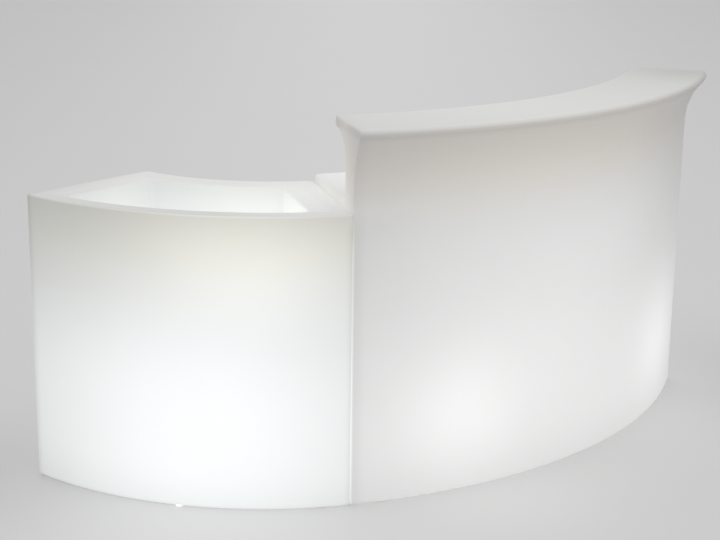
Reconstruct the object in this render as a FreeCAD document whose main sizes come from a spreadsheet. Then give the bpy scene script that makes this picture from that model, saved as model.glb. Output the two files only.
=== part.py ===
import FreeCAD, Part
import math
import os

import Sketcher

# Curved bar counter of two hollow polyethylene modules, lit from inside: a low
# module with an open-topped well and a tall module with a flared counter top.
# Lengths are in millimetres and angles in degrees.
#
# Each module is drawn in a frame of its own: Z is the axis of its curve, X runs
# outwards through the middle of the module and Y along the curve. The modules
# then meet at the seam, with their guest sides in one smooth line.

Vector = FreeCAD.Vector
Rotation = FreeCAD.Rotation
Placement = FreeCAD.Placement

SIZES = {
    # both modules
    "skin": (6, "thickness of the moulded wall"),
    "module_depth": (450, "guest side to staff side"),
    "ground_gap": (5, "underside of the shells above the floor"),
    "edge_radius": (7, "rounding of the outer edges"),
    "rear_corner_radius": (25, "upright corners on the staff side"),
    "slab": (60, "well floor or worktop down to the niche ceiling"),
    "plinth": (85, "niche floor above the ground"),
    "niche_depth": (280, "staff side to the niche's back wall"),
    "niche_corner_radius": (12, "inside corners of a niche"),
    # low module
    "low_radius": (1000, "guest side of the low module"),
    "low_sweep": (57, "angle that the low module spans"),
    "low_height": (860, "rim of the well above the floor"),
    "low_niche_width": (420, "clear width of the niche under the well"),
    "well_depth": (280, "rim to well floor"),
    "well_front_rim": (50, "rim width on the guest side"),
    "well_back_rim": (80, "rim width on the staff side"),
    "well_end_rim": (110, "rim width at both ends"),
    "well_corner_radius": (20, "upright corners of the well"),
    "well_floor_radius": (12, "rounding round the well floor"),
    # tall module
    "tall_radius": (1610, "guest side of the tall module"),
    "tall_sweep": (60, "angle that the tall module spans"),
    "tall_height": (1100, "counter top above the floor"),
    "worktop_drop": (220, "counter top down to the worktop on the staff side"),
    "flare_height": (155, "height of the flare below the lip"),
    "flare_reach": (62, "how far the flare stands out"),
    "lip_height": (20, "upright edge of the counter top, guest side"),
    "lip_radius": (15, "rounding of the counter top, guest side"),
    "top_depth": (260, "counter top, lip to staff edge"),
    "top_edge": (35, "counter top thickness at the staff edge"),
    "stem_thickness": (90, "wall that carries the counter top"),
    "cove_radius": (90, "hollow curve under the counter top"),
    "worktop_cove_radius": (12, "hollow curve where stem and worktop meet"),
    "tall_niche_width": (300, "clear width of a tall niche"),
    "tall_niche_pitch": (20, "angle between neighbouring niches"),
    # loose shelves on pins
    "low_shelf_level": (300, "underside of the low shelf"),
    "tall_shelf_level": (450, "underside of the tall shelves"),
    "shelf_thickness": (15, "board thickness"),
    "shelf_depth": (250, "board, staff edge to back edge"),
    "shelf_play": (2, "gap between a board and the niche walls"),
    "shelf_corner_radius": (15, "corners of a board"),
    "shelf_edge_radius": (2, "rounding of a board's edges"),
    "pin_radius": (4, "shelf pin"),
    "pin_reach": (14, "pin inside the niche"),
    "pin_tail": (8, "pin behind the niche wall"),
    "pin_setback": (45, "pin from the front or back edge of its board"),
    "seat_gap": (0.3, "running gap under a loose piece on a round seat"),
    # levelling feet
    "foot_radius": (22, "foot pad"),
    "foot_inset": (45, "foot axis from the guest or staff side"),
    "foot_end_angle": (4.5, "feet from the ends of the low module"),
    "tall_foot_end_angle": (3.5, "feet from the ends of the tall module"),
    "foot_sole": (1.5, "pad under the stud"),
    "stud_radius": (4, "threaded stud of a foot"),
    "stud_length": (34, "stud above its pad's sole"),
    "insert_radius": (9, "brass insert of a foot"),
    "insert_length": (20, "brass insert of a foot"),
    "thread_play": (0.05, "radial gap in a thread"),
    "glide_radius": (9, "head of the push-in glide"),
    "glide_inset": (14, "glide axis from the guest side"),
    "glide_stem_radius": (3, "stem of the glide"),
    "glide_stem_reach": (2, "stem of the glide above the skin"),
    # link plates across the seam
    "link_length": (110, "plate across the seam"),
    "link_width": (30, "plate along the seam"),
    "link_thickness": (3, "plate"),
    "link_front_inset": (110, "front plate from the guest side"),
    "link_rear_inset": (100, "rear plate from the staff side"),
    "link_hole_inset": (18, "screw from the end of its plate"),
    "link_screw_radius": (3, "shank of a countersunk screw"),
    "link_head_radius": (6, "head of a countersunk screw"),
    "link_screw_setback": (2, "screw end below the end of its insert"),
    "link_insert_radius": (6.5, "brass insert of a link screw"),
    "link_insert_length": (16, "brass insert of a link screw"),
    "fit": (0.1, "radial gap round a fixed pin or screw"),
    # lamp units
    "lamp_inset": (95, "lamp axis from the guest side"),
    "lamp_angle": (18.2, "tall lamps from the middle of the module"),
    "recess_radius": (63, "lamp recess in the underside"),
    "recess_height": (25, "lamp recess in the underside"),
    "opening_radius": (51, "opening that a globe passes through"),
    "plate_radius": (60, "lamp plate"),
    "plate_thickness": (3, "lamp plate"),
    "plate_screw_circle": (55.5, "screws from the lamp axis"),
    "plate_screw_radius": (1.9, "shank of a plate screw"),
    "plate_screw_length": (12, "shank of a plate screw"),
    "plate_screw_head_radius": (3.6, "head of a plate screw"),
    "plate_screw_head_height": (2.2, "head of a plate screw"),
    "stem_radius": (8, "tube that carries a lamp holder"),
    "stem_bore_radius": (4, "wireway in the tube"),
    "stem_height": (110, "tube above its plate"),
    "holder_radius": (22, "lamp holder"),
    "holder_height": (60, "lamp holder"),
    "holder_floor": (15, "lamp holder, below its socket"),
    "holder_seat": (8, "depth of the tube's seat in the holder"),
    "cap_radius": (13.5, "screw cap of a lamp"),
    "cap_length": (27, "screw cap of a lamp"),
    "cap_tip_radius": (5, "contact of a lamp"),
    "cap_tip_length": (4, "contact of a lamp"),
    "globe_radius": (47.5, "opal globe"),
    "globe_wall": (1.5, "opal globe"),
    "globe_neck_radius": (17, "neck of the globe"),
    "globe_neck_height": (10, "neck of the globe"),
    # cable gland and switch in the plinth
    "service_height": (45, "gland and switch above the floor"),
    "gland_offset": (60, "gland along the curve from the middle"),
    "switch_offset": (115, "switch along the curve from the middle"),
    "gland_bore_radius": (3.5, "cable hole"),
    "gland_thread_radius": (8, "thread of the gland"),
    "gland_thread_length": (18, "thread of the gland"),
    "gland_collar_radius": (12, "collar against the wall"),
    "gland_collar_height": (5, "collar against the wall"),
    "gland_dome_radius": (10, "cap round the cable"),
    "gland_dome_height": (12, "cap round the cable"),
    "gland_nut_radius": (12.5, "lock nut over its corners"),
    "gland_nut_height": (5, "lock nut"),
    "bezel_height": (24, "switch frame"),
    "bezel_width": (18, "switch frame"),
    "bezel_thickness": (2, "switch frame"),
    "switch_height": (19.2, "switch body"),
    "switch_width": (13.4, "switch body"),
    "switch_depth": (18, "switch body"),
    "window_height": (17.6, "opening for the rocker"),
    "window_width": (11.2, "opening for the rocker"),
    "window_depth": (12, "opening for the rocker, below the wall"),
    "rocker_half_height": (7.5, "rocker, pivot to end"),
    "rocker_width": (10.4, "rocker"),
    "rocker_rise": (2, "rocker face above its pivot, middle"),
    "rocker_back": (3.5, "rocker behind its pivot"),
    "rocker_back_half_height": (5.5, "back of the rocker"),
    "rocker_tilt": (12, "rocker either side of level"),
    "pivot_depth": (1, "rocker pivot below the wall"),
    "trunnion_radius": (1.2, "pivot pin of the rocker"),
    "trunnion_reach": (0.8, "pivot pin beyond the rocker"),
    # drain in the well floor
    "drain_bore_radius": (11, "drain"),
    "drain_tail_radius": (16, "threaded tail through the slab"),
    "drain_flange_radius": (30, "flange on the well floor"),
    "drain_flange_height": (3, "flange on the well floor"),
    "drain_thread_length": (18, "thread below the niche ceiling"),
    "drain_spigot_radius": (13, "hose spigot"),
    "drain_spigot_length": (25, "hose spigot"),
    "drain_nut_radius": (26, "lock nut over its corners"),
    "drain_nut_height": (10, "lock nut"),
    "stopper_play": (0.4, "radial gap of the stopper in the drain"),
    "stopper_length": (14, "stopper inside the drain"),
    "stopper_head_radius": (16, "head of the stopper"),
    "stopper_head_height": (4, "head of the stopper"),
    "stopper_knob_radius": (5, "knob of the stopper"),
    "stopper_knob_height": (12, "knob of the stopper"),
}

TOUCH = 1e-4          # two points closer than this are one
SHARP_ANGLE = 10.0    # faces that meet at more than this have an edge to round
NUT_SIDE_COUNT = 6
PLATE_SCREW_COUNT = 4

doc = FreeCAD.newDocument("bar_counter")
pieces = []


def make_sheet():
    """Spreadsheet with one named cell for each driving size."""
    sheet = doc.addObject("Spreadsheet::Sheet", "Sizes")
    for row, (alias, (value, meaning)) in enumerate(SIZES.items(), start=1):
        sheet.set(f"A{row}", alias)
        sheet.set(f"B{row}", str(value))
        sheet.set(f"C{row}", meaning)
        sheet.setAlias(f"B{row}", alias)
    doc.recompute()
    return sheet


sizes = make_sheet()


def value(expression):
    """What an expression of sheet cells comes to, as a plain number."""
    result = sizes.evalExpression(expression)
    return float(getattr(result, "Value", result))


def size(alias):
    """One cell of the sheet."""
    return value(f"Sizes.{alias}")


LOW_INNER = "(Sizes.low_radius - Sizes.module_depth)"
TALL_INNER = "(Sizes.tall_radius - Sizes.module_depth)"
RECESS_CEILING = "(Sizes.ground_gap + Sizes.recess_height)"
WELL_FLOOR = "(Sizes.low_height - Sizes.well_depth)"
LOW_NICHE_CEILING = f"({WELL_FLOOR} - Sizes.slab)"
WORKTOP = "(Sizes.tall_height - Sizes.worktop_drop)"
TALL_NICHE_CEILING = f"({WORKTOP} - Sizes.slab)"
FLARE_START = "(Sizes.tall_height - Sizes.lip_height - Sizes.flare_height)"
FLARE_RADIUS = "((Sizes.flare_reach^2 + Sizes.flare_height^2) / (2 * Sizes.flare_reach))"
LIP = "(Sizes.tall_radius + Sizes.flare_reach)"
STEM_BACK = "(Sizes.tall_radius - Sizes.stem_thickness)"
COVE_FOOT = "(Sizes.tall_height - Sizes.top_edge - Sizes.cove_radius)"
PIN_HOLE = "(Sizes.pin_radius + Sizes.fit)"
CUTTER_REACH = "(2 * Sizes.skin)"    # a cutter runs this far to go right through one skin


# --- drawing helpers ------------------------------------------------------


def new_body(name):
    """Empty body whose label is also the name of its piece."""
    body = doc.addObject("PartDesign::Body", name)
    body.Label = name
    return body


def new_sketch(body, role, lift="0"):
    """Sketch on one of the body's origin planes, lifted along its normal."""
    sketch = body.newObject("Sketcher::SketchObject", f"{body.Name}_sketch")
    plane = next(item for item in body.Origin.OriginFeatures if item.Role == role)
    sketch.AttachmentSupport = [(plane, "")]
    sketch.MapMode = "FlatFace"
    sketch.setExpression(".AttachmentOffset.Base.z", lift)
    return sketch


def arc_between(start, end, radius, turn):
    """Short arc from start to end; turn is +1 anticlockwise, -1 clockwise."""
    chord = end - start
    half = chord.Length / 2
    across = Vector(-chord.y, chord.x, 0).normalize()
    middle = (start + end) / 2
    rise = math.sqrt(max(radius**2 - half**2, 0))
    centre = middle + across * rise * turn
    outwards = (middle - centre).normalize() if rise > TOUCH else across * -turn
    return Part.Arc(start, centre + outwards * radius, end)


def outline(sketch, corners, arcs=None):
    """Closed outline through corners given as pairs of expressions.

    arcs maps the number of a side to (radius expression, turn); the other
    sides are straight.
    """
    arcs = arcs or {}
    points = [Vector(value(x), value(y), 0) for x, y in corners]
    count = len(points)
    for side, start in enumerate(points):
        end = points[(side + 1) % count]
        if side in arcs:
            radius, turn = arcs[side]
            sketch.addGeometry(arc_between(start, end, value(radius), turn))
        else:
            sketch.addGeometry(Part.LineSegment(start, end))
    # An anticlockwise arc starts at its first point, a clockwise one at its second.
    first = {side: 2 if arcs.get(side, (None, 1))[1] < 0 else 1 for side in range(count)}
    for side in range(count):
        after = (side + 1) % count
        sketch.addConstraint(Sketcher.Constraint("Coincident", side, 3 - first[side], after, first[after]))
    for side, (x, y) in enumerate(corners):
        for kind, expression in (("DistanceX", x), ("DistanceY", y)):
            place = Sketcher.Constraint(kind, -1, 1, side, first[side], value(expression))
            bind(sketch, place, f"corner{side}{kind[-1]}", expression)
    for side, (radius, _) in arcs.items():
        bind(sketch, Sketcher.Constraint("Radius", side, value(radius)), f"radius{side}", radius)


def bind(sketch, constraint, name, expression):
    """Add a constraint whose size follows an expression."""
    number = sketch.addConstraint(constraint)
    sketch.renameConstraint(number, name)
    sketch.setExpression(f"Constraints.{name}", expression)


def rectangle(sketch, low_x, high_x, low_y, high_y):
    """Rectangle between four expressions."""
    outline(sketch, [(low_x, low_y), (high_x, low_y), (high_x, high_y), (low_x, high_y)])


def centred_rectangle(sketch, width, height):
    """Rectangle about the sketch's origin."""
    rectangle(sketch, f"-({width}) / 2", f"({width}) / 2", f"-({height}) / 2", f"({height}) / 2")


def ring_sector(sketch, inner, outer, half_angle, inset):
    """Piece of a ring about the X axis, its ends set in parallel to the module's ends."""
    sine, cosine = f"sin({half_angle})", f"cos({half_angle})"

    def corner(radius, sign):
        along = f"sqrt(({radius})^2 - ({inset})^2)"
        x = f"{along} * {cosine} + ({inset}) * {sine}"
        y = f"{sign} * ({along} * {sine} - ({inset}) * {cosine})"
        return x, y

    corners = [corner(inner, -1), corner(outer, -1), corner(outer, 1), corner(inner, 1)]
    outline(sketch, corners, {1: (outer, 1), 3: (inner, -1)})


def pad(body, sketch, length, backwards=False, centred=False):
    """Solid grown from a sketch."""
    feature = body.newObject("PartDesign::Pad", f"{body.Name}_pad")
    feature.Profile = sketch
    feature.setExpression("Length", length)
    feature.Reversed = backwards
    feature.Midplane = centred
    doc.recompute()
    return feature


def pocket(body, sketch, length, centred=False):
    """Hollow cut from a sketch against its normal; it has to remove something."""
    before = body.Shape.Volume
    feature = body.newObject("PartDesign::Pocket", f"{body.Name}_pocket")
    feature.Profile = sketch
    feature.setExpression("Length", length)
    feature.Midplane = centred
    doc.recompute()
    if body.Shape.Volume >= before:
        raise ValueError(f"{feature.Name} cuts nothing")
    return feature


def revolve(body, sketch, angle="360"):
    """Solid turned about the Z axis, half the angle to each side of the sketch."""
    feature = body.newObject("PartDesign::Revolution", f"{body.Name}_turn")
    feature.Profile = sketch
    feature.ReferenceAxis = (sketch, ["V_Axis"])
    feature.Midplane = True
    feature.setExpression("Angle", angle)
    doc.recompute()
    return feature


def round_edges(body, feature, radius, wanted):
    """Fillet on the edges that wanted(edge) picks."""
    names = [f"Edge{number}" for number, edge in enumerate(feature.Shape.Edges, start=1) if wanted(edge)]
    fillet = body.newObject("PartDesign::Fillet", f"{body.Name}_fillet")
    fillet.Base = (feature, names)
    fillet.setExpression("Radius", radius)
    doc.recompute()
    return fillet


def middle_of(edge):
    """Point half way along an edge."""
    return edge.valueAt((edge.FirstParameter + edge.LastParameter) / 2)


def is_upright(edge):
    """True for a straight edge parallel to Z."""
    if edge.Degenerated or len(edge.Vertexes) < 2:
        return False
    rise = edge.Vertexes[1].Point - edge.Vertexes[0].Point
    return math.hypot(rise.x, rise.y) < TOUCH


def is_level_at(edge, height):
    """True for an edge that lies at one height."""
    if edge.Degenerated:
        return False
    return all(abs(point.z - height) < TOUCH for point in (edge.Vertexes[0].Point, middle_of(edge)))


def radius_of(point):
    """Distance from the Z axis."""
    return math.hypot(point.x, point.y)


def level_at(height):
    """Test for the edges that lie at one height."""
    return lambda edge: is_level_at(edge, height)


def upright_within(radius):
    """Test for the upright edges no further than a radius from the Z axis."""
    return lambda edge: is_upright(edge) and radius_of(middle_of(edge)) < radius + TOUCH


def level_beyond(height, radius):
    """Test for the edges at one height whose middle is at least a radius from the Z axis."""
    return lambda edge: is_level_at(edge, height) and radius_of(middle_of(edge)) > radius - TOUCH


def both(first, second):
    """Test that two tests agree on."""
    return lambda edge: first(edge) and second(edge)


def sharp_in(shape):
    """Test for the edges of a shape where two faces meet at an angle."""

    def normal(face, point):
        u, v = face.Surface.parameter(point)
        return face.normalAt(u, v)

    def is_sharp(edge):
        faces = shape.ancestorsOfType(edge, Part.Face)
        if edge.Degenerated or len(faces) != 2:
            return False
        point = middle_of(edge)
        return math.degrees(normal(faces[0], point).getAngle(normal(faces[1], point))) > SHARP_ANGLE

    return is_sharp


def turned(name, corners, arcs=None):
    """Round piece: an outline of (radius, height) pairs turned about Z."""
    body = new_body(name)
    sketch = new_sketch(body, "XZ_Plane")
    outline(sketch, corners, arcs)
    revolve(body, sketch)
    return body


def cylinder(name, radius, height, place):
    """Plain cylinder, for bores and for round pins."""
    item = doc.addObject("Part::Cylinder", name)
    item.setExpression("Radius", radius)
    item.setExpression("Height", height)
    item.Placement = place
    return item


def fused(name, items):
    """One tool from several overlapping solids."""
    fuse = doc.addObject("Part::MultiFuse", name)
    fuse.Shapes = items
    return fuse


def cut(name, base, tool):
    """Base without the tool."""
    result = doc.addObject("Part::Cut", name)
    result.Base = base
    result.Tool = tool
    return result


def hexagon_nut(name, corner_radius, bore_radius, height):
    """Hexagon nut standing on Z = 0."""
    blank = doc.addObject("Part::Prism", f"{name}_blank")
    blank.Polygon = NUT_SIDE_COUNT
    blank.setExpression("Circumradius", corner_radius)
    blank.setExpression("Height", height)
    bore = cylinder(f"{name}_bore", bore_radius, height, Placement())
    return cut(name, blank, bore)


# --- places ---------------------------------------------------------------


def polar(radius, angle, height=0.0):
    """Frame at a radius and an angle, its X axis pointing outwards."""
    turn = Rotation(Vector(0, 0, 1), angle)
    return Placement(turn.multVec(Vector(radius, 0, 0)) + Vector(0, 0, height), turn)


def on_wall(radius, angle, height):
    """Frame on the staff side: Z out of the wall, X upwards, Y along the curve."""
    return polar(radius, angle, height) * Placement(Vector(), Rotation(Vector(0, 1, 0), -90))


def across(radius, angle, offset, height, sign):
    """Frame beside a niche's middle: Z along the curve, away from the middle."""
    aside = Placement(Vector(radius, sign * offset, height), Rotation(Vector(1, 0, 0), -90 * sign))
    return polar(0, angle) * aside


LOW = Placement(Vector(), Rotation(Vector(0, 0, 1), -size("low_sweep") / 2 - 90))
TALL = Placement(
    Vector(0, size("tall_radius") - size("low_radius"), 0),
    Rotation(Vector(0, 0, 1), size("tall_sweep") / 2 - 90),
)

LOW_LAMP = [(value("Sizes.low_radius - Sizes.lamp_inset"), 0.0)]
TALL_LAMP_RADIUS = value("Sizes.tall_radius - Sizes.lamp_inset")
TALL_LAMPS = [(TALL_LAMP_RADIUS, side * size("lamp_angle")) for side in (-1, 1)]
TALL_NICHES = [step * size("tall_niche_pitch") for step in (-1, 0, 1)]


def foot_places(inner, outer, end_angle, steps):
    """Radius and angle of the feet, guest side first."""
    inset = size("foot_inset")
    return [(radius, step * end_angle) for radius in (outer - inset, inner + inset) for step in steps]


LOW_FEET = foot_places(
    value(LOW_INNER), size("low_radius"), size("low_sweep") / 2 - size("foot_end_angle"), (-1, 1)
)
TALL_FEET = foot_places(
    value(TALL_INNER), size("tall_radius"), size("tall_sweep") / 2 - size("tall_foot_end_angle"), (-1, 0, 1)
)


def keep(item, label, module, place=None):
    """Make an object a piece of the counter, placed in its module."""
    item.Label = label
    item.Placement = module * (place or Placement())
    pieces.append(item)
    return item


def keep_set(label, items):
    """Make several equal solids one piece; each is already in its place."""
    group = doc.addObject("Part::Compound", label)
    group.Links = items
    group.Label = label
    pieces.append(group)
    return group


# --- hollows that both shells share --------------------------------------


def niche(name, inner, width, ceiling, growth):
    """Staff-side niche as a solid; growth is the skin round it, or 0."""
    body = new_body(name)
    start = f"({inner} / 2)"    # well clear of the wall, on the staff side
    sketch = new_sketch(body, "YZ_Plane", lift=start)
    low, high = f"Sizes.plinth - {growth}", f"{ceiling} + {growth}"
    rectangle(sketch, f"-{width} / 2 - {growth}", f"{width} / 2 + {growth}", low, high)
    block = pad(body, sketch, f"{inner} + Sizes.niche_depth + {growth} - {start}")

    def inside(edge):
        return middle_of(edge).x > value(start) + TOUCH

    round_edges(body, block, f"Sizes.niche_corner_radius + {growth}", inside)
    return body


def floor_bores(name, places, radius):
    """Bores through the underside, for inserts."""
    depth = "Sizes.ground_gap + Sizes.skin + Sizes.edge_radius"
    return [cylinder(f"{name}_bore", radius, depth, polar(*place)) for place in places]


def lamp_voids(name, places):
    """Recess, opening and screw holes of each lamp unit."""
    tools = []
    circle = size("plate_screw_circle")
    for number, (radius, angle) in enumerate(places):
        spot = polar(radius, angle)
        tools.append(cylinder(f"{name}_recess_{number}", "Sizes.recess_radius", RECESS_CEILING, spot))
        through = f"{RECESS_CEILING} + {CUTTER_REACH}"
        tools.append(cylinder(f"{name}_opening_{number}", "Sizes.opening_radius", through, spot))
        for turn in screw_turns():
            hole = spot * polar(circle, turn)
            tools.append(cylinder(f"{name}_screw_{number}", "Sizes.plate_screw_radius", through, hole))
    return tools


def lamp_skins(name, places):
    """Skin round each lamp recess."""
    height = f"{RECESS_CEILING} + Sizes.skin"
    radius = "Sizes.recess_radius + Sizes.skin"
    return [cylinder(f"{name}_skin", radius, height, polar(*place)) for place in places]


def screw_turns():
    """Angles of the screws round a lamp plate."""
    pitch = 360 / PLATE_SCREW_COUNT
    return [pitch * (number + 0.5) for number in range(PLATE_SCREW_COUNT)]


def service_angles(inner):
    """Angles of the gland and the switch on the staff side."""
    return [math.degrees(size(alias) / value(inner)) for alias in ("gland_offset", "switch_offset")]


def service_voids(name, inner):
    """Holes in the plinth for the gland and the switch."""
    gland_angle, switch_angle = service_angles(inner)
    radius, height = value(inner), size("service_height")
    depth = f"2 * {CUTTER_REACH}"
    start = Placement(Vector(0, 0, -value(CUTTER_REACH)), Rotation())
    spot = on_wall(radius, gland_angle, height) * start
    bore = cylinder(f"{name}_gland", "Sizes.gland_thread_radius + Sizes.fit", depth, spot)
    long_side = "Sizes.switch_height + 2 * Sizes.fit"
    short_side = "Sizes.switch_width + 2 * Sizes.fit"
    window = doc.addObject("Part::Box", f"{name}_switch")
    window.setExpression("Length", long_side)
    window.setExpression("Width", short_side)
    window.setExpression("Height", depth)
    corner = Placement(Vector(-value(long_side) / 2, -value(short_side) / 2, 0), Rotation())
    window.Placement = on_wall(radius, switch_angle, height) * start * corner
    return [bore, window]


def wall_seat(inner, width):
    """Radius at which a flat seat of a width rests on the hollow curve of the staff side."""
    return value(f"sqrt({inner}^2 - ({width} / 2)^2) - Sizes.fit")


def pin_spots(inner, level):
    """Radius and height of the front and rear pins of one niche."""
    back = value(f"{inner} + Sizes.niche_depth - Sizes.shelf_play")
    front = back - size("shelf_depth")
    height = value(f"{level} - Sizes.seat_gap - Sizes.pin_radius")
    return [(front + size("pin_setback"), height), (back - size("pin_setback"), height)]


def pin_bores(name, inner, level, width, angle):
    """Bores through both side walls of a niche."""
    span = f"{width} + 2 * (Sizes.skin + Sizes.pin_tail)"
    half = value(span) / 2
    tools = []
    for radius, height in pin_spots(inner, level):
        tools.append(cylinder(f"{name}_pin", PIN_HOLE, span, across(radius, angle, -half, height, 1)))
    return tools


# --- low shell ------------------------------------------------------------


def low_block(name, growth, top, bottom):
    """Plan of the low module as a solid; growth is 0, or the skin to leave round it."""
    body = new_body(name)
    sketch = new_sketch(body, "XY_Plane", lift=bottom)
    half = "Sizes.low_sweep / 2"
    ring_sector(sketch, f"{LOW_INNER} + {growth}", f"Sizes.low_radius - {growth}", half, growth)
    block = pad(body, sketch, f"{top} - ({bottom})")
    rear = upright_within(value(f"{LOW_INNER} + {growth}"))
    return body, round_edges(body, block, f"Sizes.rear_corner_radius - {growth}", rear)


def well_block(name, growth):
    """The well as a solid; growth is the skin round it, or 0."""
    body = new_body(name)
    sketch = new_sketch(body, "XY_Plane", lift=f"{WELL_FLOOR} - {growth}")
    well_plan(sketch, growth)
    block = pad(body, sketch, f"Sizes.well_depth + {growth}")
    block = round_edges(body, block, f"Sizes.well_corner_radius + {growth}", is_upright)
    on_floor = level_at(value(f"{WELL_FLOOR} - {growth}"))
    round_edges(body, block, f"Sizes.well_floor_radius + {growth}", on_floor)
    return body


def well_plan(sketch, growth):
    """Outline of the well seen from above."""
    ring_sector(
        sketch,
        f"{LOW_INNER} + Sizes.well_back_rim - {growth}",
        f"Sizes.low_radius - Sizes.well_front_rim + {growth}",
        "Sizes.low_sweep / 2",
        f"(Sizes.well_end_rim - {growth})",
    )


def low_form():
    """Outside of the low module with its well, as one solid."""
    body, block = low_block("low_form", "0", "Sizes.low_height", "Sizes.ground_gap")
    block = round_edges(body, block, "Sizes.edge_radius", sharp_in(block.Shape))
    mouth = new_sketch(body, "XY_Plane", lift="Sizes.low_height")
    well_plan(mouth, "0")
    block = pocket(body, mouth, "Sizes.well_depth")
    rim = size("low_height")

    def reaches_rim(edge):
        return edge.BoundBox.ZMax > rim - TOUCH

    block = round_edges(body, block, "Sizes.well_corner_radius", both(is_upright, reaches_rim))
    block = round_edges(body, block, "Sizes.well_floor_radius", level_at(value(WELL_FLOOR)))
    round_edges(body, block, "Sizes.edge_radius", both(level_at(rim), sharp_in(block.Shape)))
    return body


def low_shell():
    """Hollow moulding of the low module."""
    top = "(Sizes.low_height - Sizes.skin)"
    bottom = "Sizes.ground_gap + Sizes.skin"
    inside, _ = low_block("low_inside", "Sizes.skin", top, bottom)
    args = (LOW_INNER, "Sizes.low_niche_width", LOW_NICHE_CEILING)
    skins = [well_block("well_skin", "Sizes.skin"), niche("low_niche_skin", *args, "Sizes.skin")]
    hollow = cut("low_hollow", inside, fused("low_skins", skins + lamp_skins("low_lamp", LOW_LAMP)))
    voids = [hollow, niche("low_niche", *args, "0")]
    voids += lamp_voids("low_lamp", LOW_LAMP)
    voids += service_voids("low", LOW_INNER)
    voids += floor_bores("low_insert", LOW_FEET, "Sizes.insert_radius + Sizes.fit")
    glide = (size("low_radius") - size("glide_inset"), 0)
    voids += floor_bores("glide", [glide], "Sizes.glide_stem_radius")
    voids += floor_bores("low_link", link_spots(LOW), "Sizes.link_insert_radius + Sizes.fit")
    voids += pin_bores("low", LOW_INNER, "Sizes.low_shelf_level", "Sizes.low_niche_width", 0)
    drain = polar(drain_radius(), 0, value(LOW_NICHE_CEILING) - size("skin"))
    through = f"Sizes.slab + {CUTTER_REACH}"
    voids.append(cylinder("drain_bore", "Sizes.drain_tail_radius + Sizes.fit", through, drain))
    shell = cut("low_shell", low_form(), fused("low_voids", voids))
    return keep(shell, "low_shell", LOW)


def drain_radius():
    """The drain lies in the middle of the well floor."""
    inner = value(f"{LOW_INNER} + Sizes.well_back_rim")
    outer = value("Sizes.low_radius - Sizes.well_front_rim")
    return (inner + outer) / 2


# --- tall shell -----------------------------------------------------------


def tall_form():
    """Outside of the tall module, as one solid."""
    body = new_body("tall_form")
    sketch = new_sketch(body, "XZ_Plane")
    corners = [
        ("Sizes.tall_radius", "Sizes.ground_gap"),
        ("Sizes.tall_radius", FLARE_START),
        (LIP, "Sizes.tall_height - Sizes.lip_height"),
        (LIP, "Sizes.tall_height"),
        (f"{LIP} - Sizes.top_depth", "Sizes.tall_height"),
        (f"{LIP} - Sizes.top_depth", "Sizes.tall_height - Sizes.top_edge"),
        (f"{STEM_BACK} - Sizes.cove_radius", "Sizes.tall_height - Sizes.top_edge"),
        (STEM_BACK, COVE_FOOT),
        (STEM_BACK, WORKTOP),
        (TALL_INNER, WORKTOP),
        (TALL_INNER, "Sizes.ground_gap"),
    ]
    outline(sketch, corners, {1: (FLARE_RADIUS, -1), 6: ("Sizes.cove_radius", -1)})
    block = revolve(body, sketch, "Sizes.tall_sweep")
    block = round_edges(body, block, "Sizes.rear_corner_radius", upright_within(value(TALL_INNER)))

    def meets_stem(edge):
        return abs(radius_of(middle_of(edge)) - value(STEM_BACK)) < TOUCH

    crease = both(level_at(value(WORKTOP)), meets_stem)
    block = round_edges(body, block, "Sizes.worktop_cove_radius", crease)
    lip_edge = level_beyond(size("tall_height"), value(LIP))
    block = round_edges(body, block, "Sizes.lip_radius", lip_edge)
    round_edges(body, block, "Sizes.edge_radius", sharp_in(block.Shape))
    return body


def tall_inside():
    """Space inside the skin of the tall module."""
    body = new_body("tall_inside")
    sketch = new_sketch(body, "XZ_Plane")
    front = "(Sizes.tall_radius - Sizes.skin)"
    nose = f"({LIP} - Sizes.skin)"
    bend = f"({FLARE_RADIUS} + Sizes.skin)"
    nose_height = f"{FLARE_START} + sqrt({bend}^2 - ({FLARE_RADIUS} - Sizes.flare_reach + Sizes.skin)^2)"
    bottom = "Sizes.ground_gap + Sizes.skin"
    worktop = f"{WORKTOP} - Sizes.skin"
    corners = [
        (front, bottom),
        (front, FLARE_START),
        (nose, nose_height),
        (nose, "Sizes.tall_height - Sizes.skin"),
        (f"{STEM_BACK} - Sizes.cove_radius", "Sizes.tall_height - Sizes.skin"),
        (f"{STEM_BACK} - Sizes.cove_radius", "Sizes.tall_height - Sizes.top_edge + Sizes.skin"),
        (f"{STEM_BACK} + Sizes.skin", COVE_FOOT),
        (f"{STEM_BACK} + Sizes.skin", worktop),
        (f"{TALL_INNER} + Sizes.skin", worktop),
        (f"{TALL_INNER} + Sizes.skin", bottom),
    ]
    outline(sketch, corners, {1: (bend, -1), 5: ("Sizes.cove_radius + Sizes.skin", -1)})
    block = revolve(body, sketch, f"Sizes.tall_sweep * 1deg - 2 * asin(Sizes.skin / {TALL_INNER})")
    rear = upright_within(value(f"{TALL_INNER} + Sizes.skin"))
    block = round_edges(body, block, "Sizes.rear_corner_radius - Sizes.skin", rear)
    lip_edge = level_beyond(value("Sizes.tall_height - Sizes.skin"), value(nose))
    round_edges(body, block, "Sizes.lip_radius - Sizes.skin", lip_edge)
    return body


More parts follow.
